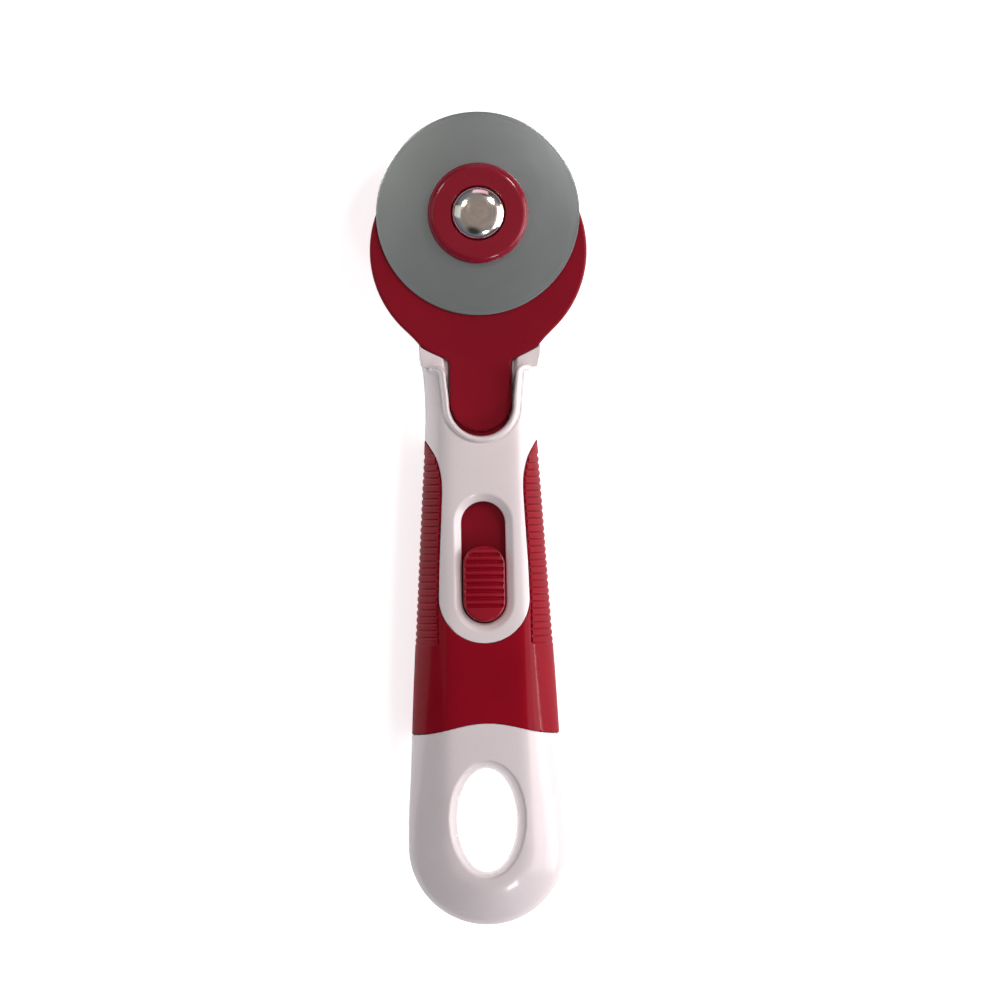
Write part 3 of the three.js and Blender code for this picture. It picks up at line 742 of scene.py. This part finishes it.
def cheekField(x, y, z):  # the fork's cheeks beside the guard's neck
    flat = np.maximum(arm["cheekGap"] - guardOutline(x, y), np.abs(x) - upperArmAt(y))
    opening = roundMin(windowField(x, y), window["topY"] - y, window["corner"])
    flat = np.maximum(flat, opening + np.interp(y, (-36, -34.4), (0.12, -0.6)))
    flat = np.maximum(flat, y + 28)
    start, end = arm["cheekEndY"]
    fall = 3.2 * np.clip((start - y) / (start - end), 0, 1) ** 2
    inwards = np.clip(0.5 - (np.abs(x) - windowAt(y)) / 0.9, 0, 1)
    fall = fall + arm["cheekSink"] * inwards * inwards * (3 - 2 * inwards)
    return roundMax(flat, np.maximum(z - arm["cheekZ"] + fall, 8.5 - z), 0.2)


def castNode(name, field, node, look, nodes=None, cell=None, grow=1.2):
    low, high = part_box(node)
    low = np.array([low.x, low.y - axisY, low.z]) / mm - grow
    high = np.array([high.x, high.y - axisY, high.z]) / mm + grow
    body = {n: b for b, members in frame["record"]["behaviour"]["bodies"].items() for n in members}[node]
    return cast(name, field, low, high, cell or handle["cell"], looks[look], body, nodes or [node])



guard = {
    "radius": 24.0,
    "centreY": -8.2,
    "neck": [(-52, 6.9), (-41.4, 6.9), (-36, 6.85), (-33.6, 6.85), (-32.6, 7.15), (-31.7, 8.6), (-30.6, 10.9),
             (-29.4, 12.9), (-27.2, 14.7), (-20, 20)],
    "tongueEndY": -41.4,
    "tongueRadius": 6.9,
    "slotHalf": 3.4,
    "edge": 0.65,
}
neckAt = alongY(guard["neck"])


def guardOutline(x, y):
    disc = np.hypot(x, y - guard["centreY"]) - guard["radius"]
    side = (np.abs(x) - neckAt(y)) * 0.85
    end = np.hypot(x, y - guard["tongueEndY"]) - guard["tongueRadius"]
    neck = np.maximum(np.where(y < guard["tongueEndY"], end, side), y + 20)
    return roundMin(disc, neck, 0.6)


def guardField(x, y, z):
    flat = guardOutline(x, y)
    half = guard["slotHalf"]
    flat = roundMax(flat, -slotField(x, y, half, half, guard["centreY"] - half), 0.0)
    low, high = bottom("guard_plate"), top("guard_plate")
    solid = roundMax(flat, z - high, guard["edge"])
    solid = roundMax(solid, low - z, 0.4)
    return np.maximum(solid, -np.maximum(y + 38.3, z - 11.3))


button = {"half": 4.62, "topY": -73.3, "bottomY": -90.3, "rampEndY": -76.0, "crownRadius": 30.0, "edge": 0.55,
          "hollow": 0.3, "grooves": 8, "grooveFromY": -75.45, "groovePitch": 1.616, "grooveDepth": 0.7,
          "grooveWidth": 0.36, "rim": 0.3}


def buttonHeight(x, y):  # the finger face: a ramp at the front, a hollow for the thumb, falling to the sides
    face = top("thumb_button") - 0.55
    ramp = np.clip((y - button["rampEndY"]) / (button["topY"] - button["rampEndY"]), 0, 1)
    middle = (y + 82.0) / 9.0
    hollow = button["hollow"] * (1 - np.minimum(middle ** 2, 1))
    return face - 1.9 * ramp ** 2 - hollow - x ** 2 / (2 * button["crownRadius"])


def buttonGrooves(x, y):  # rows across the finger face, stopping short of its rim
    k = np.clip(np.round((button["grooveFromY"] - y) / button["groovePitch"]), 0, button["grooves"] - 1)
    off = (y - button["grooveFromY"] + k * button["groovePitch"]) / button["grooveWidth"]
    rim = -slotField(x, y, button["half"], button["topY"], button["bottomY"]) - button["rim"]
    share = np.clip(rim / 0.3, 0, 1)
    return button["grooveDepth"] * np.exp(-off * off) * share


def buttonField(x, y, z):
    flat = slotField(x, y, button["half"], button["topY"], button["bottomY"])
    solid = roundMax(flat, z - buttonHeight(x, y) + buttonGrooves(x, y), button["edge"])
    solid = np.maximum(solid, top("slider_link") + 0.3 - z)
    stem = np.maximum(boxField(x, y, -2.5, 2.5, -87, -77), np.maximum(z - 14, bottom("thumb_button") - z))
    return np.minimum(solid, stem)


def linkField(x, y, z):
    low, high = bottom("slider_link"), top("slider_link")
    thick = roundMax(boxField(x, y, -6.2, 6.2, -100, -62), np.maximum(z - high, low - z), 0.3)
    tongue = np.maximum(np.maximum(guardOutline(x, y) - 0.22, np.abs(x) - 6.9), y + 41)
    flat = np.minimum(boxField(x, y, -6.2, 6.2, -64, -38.6), tongue)
    thin = roundMax(flat, np.maximum(z - 11, low - z), 0.3)
    solid = roundMin(thick, thin, 0.5)
    solid = np.maximum(solid, -boxField(x, y, -2.8, 2.8, -87.3, -76.7))
    solid = np.maximum(solid, 1.8 - np.hypot(x, y + 43.2))
    for along in (0, 8.2):
        notch = np.maximum(boxField(x, y, -3.2, 3.2, -71.2 - along, -69.8 - along), z - low - 0.6)
        solid = np.maximum(solid, -notch)
    return solid



def rounded(profile, steps=5):  # corners given as (radius, z, rounding)
    points = []
    n = len(profile)
    for i, (r, z, size) in enumerate(profile):
        here = np.array([r, z], float)
        if size <= 0 or i in (0, n - 1):
            points.append(here)
            continue
        before = np.array(profile[i - 1][:2], float) - here
        after = np.array(profile[(i + 1) % n][:2], float) - here
        reach = min(size, 0.48 * np.linalg.norm(before), 0.48 * np.linalg.norm(after))
        a = here + before / np.linalg.norm(before) * reach
        b = here + after / np.linalg.norm(after) * reach
        for t in np.linspace(0, 1, steps + 1):
            points.append((1 - t) ** 2 * a + 2 * t * (1 - t) * here + t * t * b)
    return np.array(points)


def lathe(name, profile, look, body, nodes, steps=96, centre=(0, 0), closed=False):
    points = rounded(profile)
    bm = bmesh.new()
    rings = []
    for r, z in points:
        if r < 1e-6:
            rings.append([bm.verts.new((centre[0], centre[1], z))])
            continue
        angles = np.arange(steps) * 2 * math.pi / steps
        rings.append([bm.verts.new((centre[0] + r * math.cos(a), centre[1] + r * math.sin(a), z)) for a in angles])
    pairs = list(zip(rings[:-1], rings[1:]))
    if closed:
        pairs.append((rings[-1], rings[0]))
    for low, high in pairs:
        for i in range(steps):
            j = (i + 1) % steps
            corners = [low[i % len(low)], low[j % len(low)], high[j % len(high)], high[i % len(high)]]
            unique = list(dict.fromkeys(corners))
            if len(unique) > 2:
                bm.faces.new(unique)
    bmesh.ops.recalc_face_normals(bm, faces=bm.faces)
    mesh = bpy.data.meshes.new(name)
    bm.to_mesh(mesh)
    bm.free()
    mesh.transform(Matrix.Translation((0, axisY, 0)) @ Matrix.Scale(mm, 4))
    obj = bpy.data.objects.new(name, mesh)
    bpy.context.scene.collection.objects.link(obj)
    smoothByAngle(obj, 38)
    if body is None:
        return obj
    return dress(obj, looks[look], body, nodes)


blade = {"radius": 22.5, "bore": 4.0, "bevel": 0.5, "edge": 0.03, "steps": 192}


def makeBlade():
    low, high = bottom("blade"), top("blade")
    middle = (low + high) / 2
    flat = blade["radius"] - blade["bevel"]
    profile = [(blade["bore"], low, 0), (flat, low, 0), (blade["radius"], middle - blade["edge"], 0),
               (blade["radius"], middle + blade["edge"], 0), (flat, high, 0), (blade["bore"], high, 0)]
    lathe("roundBlade", profile, "blade", "blade", ["blade"], blade["steps"], closed=True)


cap = {"radius": 11.2, "under": 12.9, "faceRadius": 9.35, "rimDrop": 1.7, "seat": 6.08, "seatZ": 14.6, "boss": 3.93,
       "bore": 3.3}


def makeCap():
    low, high = bottom("blade_cap"), top("blade_cap") + 0.05
    profile = [(cap["bore"], low, 0), (cap["boss"], low, 0.1), (cap["boss"], cap["under"], 0.1),
               (cap["radius"] - 0.1, cap["under"], 0.15), (cap["radius"], cap["under"] + 0.3, 0.15)]
    wide = cap["radius"] - cap["faceRadius"]
    for angle in np.linspace(0, math.pi / 2, 12):  # the rim rolls over from the wall to the flat face
        profile.append((cap["faceRadius"] + wide * math.cos(angle), high - cap["rimDrop"] * (1 - math.sin(angle)), 0))
    profile += [(cap["seat"] + 0.15, high, 0), (cap["seat"], high - 0.15, 0.1), (cap["seat"], cap["seatZ"], 0.1),
                (cap["bore"], cap["seatZ"], 0)]
    lathe("bladeCap", profile, "gloss", "handle", ["blade_cap"], 144, closed=True)


bolt = {"head": 5.9, "headZ": 14.9, "dome": 2.25, "shank": 3.0, "threadTop": 6.0, "pitch": 0.8,
        "threadDepth": 0.35}


def makeBolt():
    low, high = bottom("pivot_bolt"), top("pivot_bolt")
    profile = [(0, low, 0), (bolt["shank"] - 0.7, low, 0.1)]
    z = low + 0.5
    while z < bolt["threadTop"]:  # thread ridges, drawn as rings
        profile += [(bolt["shank"] - bolt["threadDepth"], z, 0), (bolt["shank"], z + bolt["pitch"] * 0.4, 0),
                    (bolt["shank"], z + bolt["pitch"] * 0.6, 0)]
        z += bolt["pitch"]
    neck = 3.0
    profile += [(bolt["shank"], z, 0), (bolt["shank"], bolt["headZ"], 0), (bolt["head"] - 0.15, bolt["headZ"], 0.1),
                (bolt["head"], bolt["headZ"] + 0.2, 0.1)]
    foot = high - bolt["dome"]
    for i in range(13):
        angle = math.pi / 2 * i / 12
        profile.append((bolt["head"] * math.cos(angle) if i < 12 else 0, foot + bolt["dome"] * math.sin(angle), 0))
    piece = lathe("pivotBolt", profile, "chrome", None, [], 96)
    bm = bmesh.new()
    bm.from_mesh(piece.data)
    cube = bmesh.ops.create_cube(bm, size=1)["verts"]  # the square neck in the arm
    size = 2 * neck * mm
    middle = (7.1 + 9.4) / 2 * mm
    bmesh.ops.scale(bm, vec=(size, size, 2.3 * mm), verts=cube)
    bmesh.ops.translate(bm, vec=(0, axisY, middle), verts=cube)
    bmesh.ops.bevel(bm, geom=list({e for v in cube for e in v.link_edges}), offset=0.2 * mm, segments=2, affect="EDGES")
    bm.to_mesh(piece.data)
    bm.free()
    smoothByAngle(piece, 38)
    dress(piece, looks["chrome"], "handle", ["pivot_bolt"])


def makeWashers():
    low, high = bottom("flat_washer"), top("flat_washer")
    profile = [(3.3, low, 0.08), (8, low, 0.12), (8, high, 0.12), (3.3, high, 0.08), (3.3, low + 0.01, 0)]
    lathe("flatWasher", profile[:4], "steel", "handle", ["flat_washer"], 96, closed=True)
    low = bottom("bow_washer")
    profile = [(3.3, low, 0), (7.5, low, 0.1), (7.6, low + 0.2, 0.1), (7.5, low + 0.4, 0.1), (3.3, low + 0.4, 0)]
    bow = lathe("bowWasher", profile, "steel", None, [], 96, closed=True)
    for vert in bow.data.vertices:
        x = vert.co.x / mm
        vert.co.z += 0.55 * mm * (1 - (x / 7.6) ** 2)
    dress(bow, looks["steel"], "handle", ["bow_washer"])



class Tree:
    def __init__(self, name):
        self.group = bpy.data.node_groups.new(name, "GeometryNodeTree")
        self.group.interface.new_socket("Geometry", in_out="INPUT", socket_type="NodeSocketGeometry")
        self.group.interface.new_socket("Geometry", in_out="OUTPUT", socket_type="NodeSocketGeometry")
        self.start = self.group.nodes.new("NodeGroupInput")
        self.end = self.group.nodes.new("NodeGroupOutput")

    def knob(self, name, kind, value=None):
        socket = self.group.interface.new_socket(name, in_out="INPUT", socket_type="NodeSocket" + kind)
        if value is not None:
            socket.default_value = value
        return self.start.outputs[name]

    def node(self, kind, links=None, **fixed):
        made = self.group.nodes.new("GeometryNode" + kind if not kind.startswith(("Shader", "Function")) else kind)
        for key, value in fixed.items():
            setattr(made, key, value)
        for key, value in (links or {}).items():
            socket = made.inputs[key]
            if isinstance(value, bpy.types.NodeSocket):
                self.group.links.new(value, socket)
            else:
                socket.default_value = value
        return made

    def maths(self, kind, a, b=0.0):
        return self.node("ShaderNodeMath", {0: a, 1: b}, operation=kind).outputs[0]

    def vector(self, kind, a, b):
        return self.node("ShaderNodeVectorMath", {0: a, 1: b}, operation=kind).outputs[0]

    def close(self, geometry, material):
        real = self.node("RealizeInstances", {"Geometry": geometry})
        done = self.node("SetMaterial", {"Geometry": real.outputs[0], "Material": material})
        self.group.links.new(done.outputs[0], self.end.inputs[0])
        return self.group


def runTree(name, base, group, values, look, body, nodes=(), angle=40):
    modifier = base.modifiers.new("tree", "NODES")
    modifier.node_group = group
    for item in group.interface.items_tree:
        if item.item_type == "SOCKET" and item.in_out == "INPUT" and item.name in values:
            modifier[item.identifier] = values[item.name]
    graph = bpy.context.evaluated_depsgraph_get()
    mesh = bpy.data.meshes.new_from_object(base.evaluated_get(graph))
    bpy.data.objects.remove(base)
    obj = bpy.data.objects.new(name, mesh)
    mesh.name = name
    bpy.context.scene.collection.objects.link(obj)
    smoothByAngle(obj, angle)
    print(name, len(mesh.polygons), "faces from its tree")
    return dress(obj, None, body, nodes)


def looseObject(name, verts, edges=(), values=None):
    mesh = bpy.data.meshes.new(name)
    mesh.from_pydata([tuple(v) for v in toWorld(verts)], [tuple(e) for e in edges], [])
    if values is not None:
        attribute = mesh.attributes.new("taper", "FLOAT", "POINT")
        attribute.data.foreach_set("value", values)
    obj = bpy.data.objects.new(name, mesh)
    bpy.context.scene.collection.objects.link(obj)
    return obj


def ribTree():  # sweeps an oval along every line it is given
    tree = Tree("ribs")
    wide = tree.knob("Half width", "Float", 0.0005)
    tall = tree.knob("Half height", "Float", 0.0004)
    sides = tree.knob("Sides", "Int", 10)
    look = tree.knob("Material", "Material")
    lines = tree.node("MeshToCurve", {"Mesh": tree.start.outputs["Geometry"]})
    taper = tree.node("InputNamedAttribute", {"Name": "taper"}, data_type="FLOAT")
    sized = tree.node("SetCurveRadius", {"Curve": lines.outputs[0], "Radius": taper.outputs[0]})
    circle = tree.node("CurvePrimitiveCircle", {"Resolution": sides, "Radius": 1.0})
    stretch = tree.node("ShaderNodeCombineXYZ", {"X": wide, "Y": tall, "Z": 1.0})
    oval = tree.node("Transform", {"Geometry": circle.outputs[0], "Scale": stretch.outputs[0]})
    swept = tree.node("CurveToMesh", {"Curve": sized.outputs[0], "Profile Curve": oval.outputs[0],
                                      "Fill Caps": True})
    return tree.close(swept.outputs[0], look)


def scatterTree():  # puts the given object on every point
    tree = Tree("onPoints")
    thing = tree.knob("Piece", "Object")
    look = tree.knob("Material", "Material")
    info = tree.node("ObjectInfo", {"Object": thing, "As Instance": True})
    placed = tree.node("InstanceOnPoints", {"Points": tree.start.outputs["Geometry"],
                                            "Instance": info.outputs["Geometry"]})
    return tree.close(placed.outputs[0], look)


def scallopTree():  # waves the outer wall of a turned piece in and out, lobe by lobe
    tree = Tree("scallops")
    lobes = tree.knob("Lobes", "Float", 12.0)
    depth = tree.knob("Depth", "Float", 0.0004)
    inner = tree.knob("Inner radius", "Float", 0.008)
    outer = tree.knob("Outer radius", "Float", 0.01)
    middle = tree.knob("Centre", "Vector")
    look = tree.knob("Material", "Material")
    place = tree.node("InputPosition")
    arm = tree.vector("SUBTRACT", place.outputs[0], middle)
    flat = tree.vector("MULTIPLY", arm, (1, 1, 0))
    reach = tree.node("ShaderNodeVectorMath", {0: flat}, operation="LENGTH").outputs["Value"]
    apart = tree.node("ShaderNodeSeparateXYZ", {0: flat})
    angle = tree.maths("ARCTAN2", apart.outputs["Y"], apart.outputs["X"])
    wave = tree.maths("COSINE", tree.maths("MULTIPLY", angle, lobes))
    share = tree.node("ShaderNodeMapRange", {"Value": reach, "From Min": inner, "From Max": outer},
                      interpolation_type="SMOOTHSTEP").outputs["Result"]
    push = tree.maths("MULTIPLY", tree.maths("MULTIPLY", wave, share), depth)
    away = tree.node("ShaderNodeVectorMath", {0: flat}, operation="NORMALIZE").outputs[0]
    shift = tree.node("ShaderNodeVectorMath", {0: away, "Scale": push}, operation="SCALE").outputs[0]
    moved = tree.node("SetPosition", {"Geometry": tree.start.outputs["Geometry"], "Offset": shift})
    return tree.close(moved.outputs[0], look)


ribs = {"wide": 0.7, "tall": 0.32, "sink": 0.31, "sides": 14, "steps": 16, "taper": (0.7, 0.95),
        "backReach": 3.6, "screwClear": 3.7}


def ribLine(y, side, front):
    width = float(halfWidthAt(y))
    if front:
        a, b = width - float(flatHalfAt(y)), float(frontAt(y)) - handle["shoulderZ"]
        inner = float(panelAt(y)) + grip["ribBorder"] + 0.1
        base, sign, power = handle["shoulderZ"], 1, handle["facetPower"]
    else:
        a, b = handle["backShoulder"], handle["backShoulderZ"]
        inner = width - ribs["backReach"]
        for screwX, screwY in screws["places"]:
            if abs(y - screwY) < ribs["screwClear"]:
                inner = max(inner, screwX + math.sqrt(ribs["screwClear"] ** 2 - (y - screwY) ** 2))
        base, sign, power = handle["backShoulderZ"], -1, 2.0
    start = math.acos(min(1.0, max(0.0, (a - width + inner) / a)) ** (power / 2))
    points = []
    for angle in np.linspace(start, 0.02, ribs["steps"]):
        u, v = math.cos(angle) ** (2 / power), math.sin(angle) ** (2 / power)
        out = np.array([u ** (power - 1) / a, v ** (power - 1) / b])
        out /= np.linalg.norm(out)
        x = width - a + a * u - ribs["sink"] * out[0]
        points.append((side * x, y, base + sign * (b * v - ribs["sink"] * out[1])))
    edge = handle["partingZ"] + sign * 0.06
    points.append((side * (width - ribs["sink"]), y, edge))
    return points


def makeRibs():
    verts, edges, tapers = [], [], []
    count = int((grip["ribsFromY"] - grip["ribsToY"]) / grip["ribPitch"]) + 1
    for i in range(count):
        y = grip["ribsFromY"] - grip["ribPitch"] * (i + 0.5)
        for side in (1, -1):
            for front in (True, False):
                line = ribLine(y, side, front)
                if len(line) < 3:
                    continue
                first = len(verts)
                verts += line
                edges += [(first + k, first + k + 1) for k in range(len(line) - 1)]
                tapers += list(ribs["taper"]) + [1.0] * (len(line) - len(ribs["taper"]))
    base = looseObject("ribLines", verts, edges, tapers)
    values = {"Half width": ribs["wide"] * mm, "Half height": ribs["tall"] * mm, "Sides": ribs["sides"],
              "Material": looks["grip"]}
    runTree("gripRibs", base, ribTree(), values, "grip", "handle")


nut = {"radius": 10.4, "lobes": 14, "lobeDepth": 0.45, "edge": 0.9, "bore": 3.3, "pocket": 5.35, "pocketZ": 1.6,
       "collar": 4.6, "dishTo": 8.3, "dishDepth": 0.7}


def makeNut():
    low, high = bottom("lock_nut"), top("lock_nut")
    floor = low + nut["dishDepth"]
    profile = [(nut["pocket"], high, 0.1), (nut["pocket"], nut["pocketZ"], 0.1), (nut["bore"], nut["pocketZ"], 0.1),
               (nut["bore"], low, 0.2), (nut["collar"], low, 0.35), (nut["collar"] + 0.5, floor, 0.4),
               (nut["dishTo"] - 0.6, floor, 0.5), (nut["dishTo"], low, 0.35), (nut["radius"], low, nut["edge"])]
    steps = 6
    wall = high - low - 2 * nut["edge"]
    profile += [(nut["radius"], low + nut["edge"] + wall * k / steps, 0) for k in range(1, steps)]
    profile += [(nut["radius"], high, nut["edge"])]
    turned = lathe("nutBlank", profile, "gloss", None, [], nut["lobes"] * 18, closed=True)
    values = {"Lobes": float(nut["lobes"]), "Depth": nut["lobeDepth"] * mm, "Inner radius": nut["dishTo"] * mm,
              "Outer radius": (nut["radius"] - 0.3) * mm, "Centre": (0, axisY, 0), "Material": looks["gloss"]}
    runTree("lockNut", turned, scallopTree(), values, "gloss", "nut", ["lock_nut"])


def makeInsert():
    low, high = bottom("nut_insert"), top("nut_insert")
    bm = bmesh.new()
    radius = 4.5 / math.cos(math.pi / 6)
    bore = [(3.12 * math.cos(a), 3.12 * math.sin(a)) for a in np.arange(48) * math.pi / 24]
    outer = []
    for k in range(48):  # the hexagon, with as many points as the bore
        a = k * math.pi / 24
        part = (a + math.pi / 6) % (math.pi / 3) - math.pi / 6
        r = radius * math.cos(math.pi / 6) / math.cos(math.pi / 6 - abs(part))
        outer.append((r * math.cos(a), r * math.sin(a)))
    levels = []
    for ring, zs in ((outer, (low, high)), (bore, (high, low))):
        for z in zs:
            levels.append([bm.verts.new((x, y, z)) for x, y in ring])
    for low4, high4 in zip(levels, levels[1:] + levels[:1]):
        for k in range(48):
            j = (k + 1) % 48
            bm.faces.new((low4[k], low4[j], high4[j], high4[k]))
    bmesh.ops.recalc_face_normals(bm, faces=bm.faces)
    mesh = bpy.data.meshes.new("nutInsert")
    bm.to_mesh(mesh)
    bm.free()
    mesh.transform(Matrix.Translation((0, axisY, 0)) @ Matrix.Scale(mm, 4))
    obj = bpy.data.objects.new("nutInsert", mesh)
    bpy.context.scene.collection.objects.link(obj)
    bevel = obj.modifiers.new("bevel", "BEVEL")
    bevel.width = 0.15 * mm
    bevel.segments = 2
    bevel.limit_method = "ANGLE"
    smoothByAngle(obj, 35)
    dress(obj, looks["steel"], "nut", ["nut_insert"])


def makeScrews():
    low, high = bottom("shell_screw_1"), top("shell_screw_1")

    def screwField(x, y, z):
        head = roundMax(np.hypot(x, y) - screws["headRadius"], z - 2.6, 0.15)
        dome = np.sqrt(x * x + y * y + (z - low - 4.6) ** 2) - 4.6
        head = roundMax(head, dome, 0.25)
        arms = np.minimum(boxField(x, y, -1.5, 1.5, -0.32, 0.32), boxField(x, y, -0.32, 0.32, -1.5, 1.5))
        taper = (z - low) * 0.45
        head = roundMax(head, -np.maximum(arms + taper * 0.6, z - low - 1.3), 0.06)
        thread = 0.12 * np.cos((z / 0.9 + np.arctan2(y, x) / (2 * math.pi)) * 2 * math.pi)
        shank = np.maximum(np.hypot(x, y) - 1.08 - thread, np.maximum(z - high, 2 - z))
        return np.minimum(head, shank)

    model = cast("screwModel", screwField, (-3.2, -3.2, low - 0.6), (3.2, 3.2, high + 0.6), 0.16, looks["steel"],
                 "handle", [])
    model.parent = None
    model.data.transform(Matrix.Translation((0, -axisY, 0)))
    base = looseObject("screwPoints", [(x, y, 0) for x, y in screws["places"]])
    nodes = [f"shell_screw_{i + 1}" for i in range(len(screws["places"]))]
    runTree("shellScrews", base, scatterTree(), {"Piece": model, "Material": looks["steel"]}, "steel",
            "handle", nodes)
    bpy.data.objects.remove(model)


spring = {"half": 2.5, "thick": 0.4,
          "line": [(-99, 4.6), (-95, 4.6), (-88, 6.6), (-76, 7.2), (-72, 7.6), (-70.5, 9.15), (-69, 7.6), (-64, 7.1)]}


def makeSpringAndPin():
    line = spline(spring["line"], 8)
    along = np.gradient(line, axis=0)
    along /= np.linalg.norm(along, axis=1)[:, None]
    across = np.stack([-along[:, 1], along[:, 0]], 1) * spring["thick"] / 2
    verts, faces = [], []
    for (y, z), (ny, nz) in zip(line, across):
        for x, s in ((-1, -1), (1, -1), (1, 1), (-1, 1)):
            verts.append((x * spring["half"], y + s * ny, z + s * nz))
    n = len(line)
    for i in range(n - 1):
        for k in range(4):
            j = (k + 1) % 4
            faces.append((4 * i + k, 4 * i + 4 + k, 4 * i + 4 + j, 4 * i + j))
    faces += [(0, 1, 2, 3), (4 * n - 1, 4 * n - 2, 4 * n - 3, 4 * n - 4)]
    strip = newObject("detentSpring", verts, faces, looks["steel"], "handle", ["detent_spring"])
    bm = bmesh.new()
    bm.from_mesh(strip.data)
    bmesh.ops.recalc_face_normals(bm, faces=bm.faces)
    bm.to_mesh(strip.data)
    bm.free()
    smoothByAngle(strip, 35)
    low, high = bottom("link_pin"), top("link_pin")
    lathe("linkPin", [(0, low, 0), (1.5, low, 0.2), (1.5, high, 0.2), (0, high, 0)], "steel", "guard",
          ["link_pin"], 32, centre=(0, -43.2))


makeStudio()
castNode("frontShell", frontShellField, "front_shell", "white")
castNode("frontGrip", frontGripField, "front_grip", "grip")
castNode("backShell", backShellField, "back_shell", "white", cell=0.4, grow=2.6)
cast("forkCheeks", cheekField, (-13.9, -42, 8), (13.9, -27.3, 12.5), 0.2, looks["white"], "handle",
     ["back_shell"])
castNode("backGrip", backGripField, "back_grip", "grip")
makeRibs()
castNode("guardPlate", guardField, "guard_plate", "guard", cell=0.36)
castNode("thumbButton", buttonField, "thumb_button", "button", cell=0.15)
castNode("sliderLink", linkField, "slider_link", "guard", cell=0.4, grow=6.6)
makeBlade()
makeCap()
makeBolt()
makeWashers()
makeNut()
makeInsert()
makeScrews()
makeSpringAndPin()
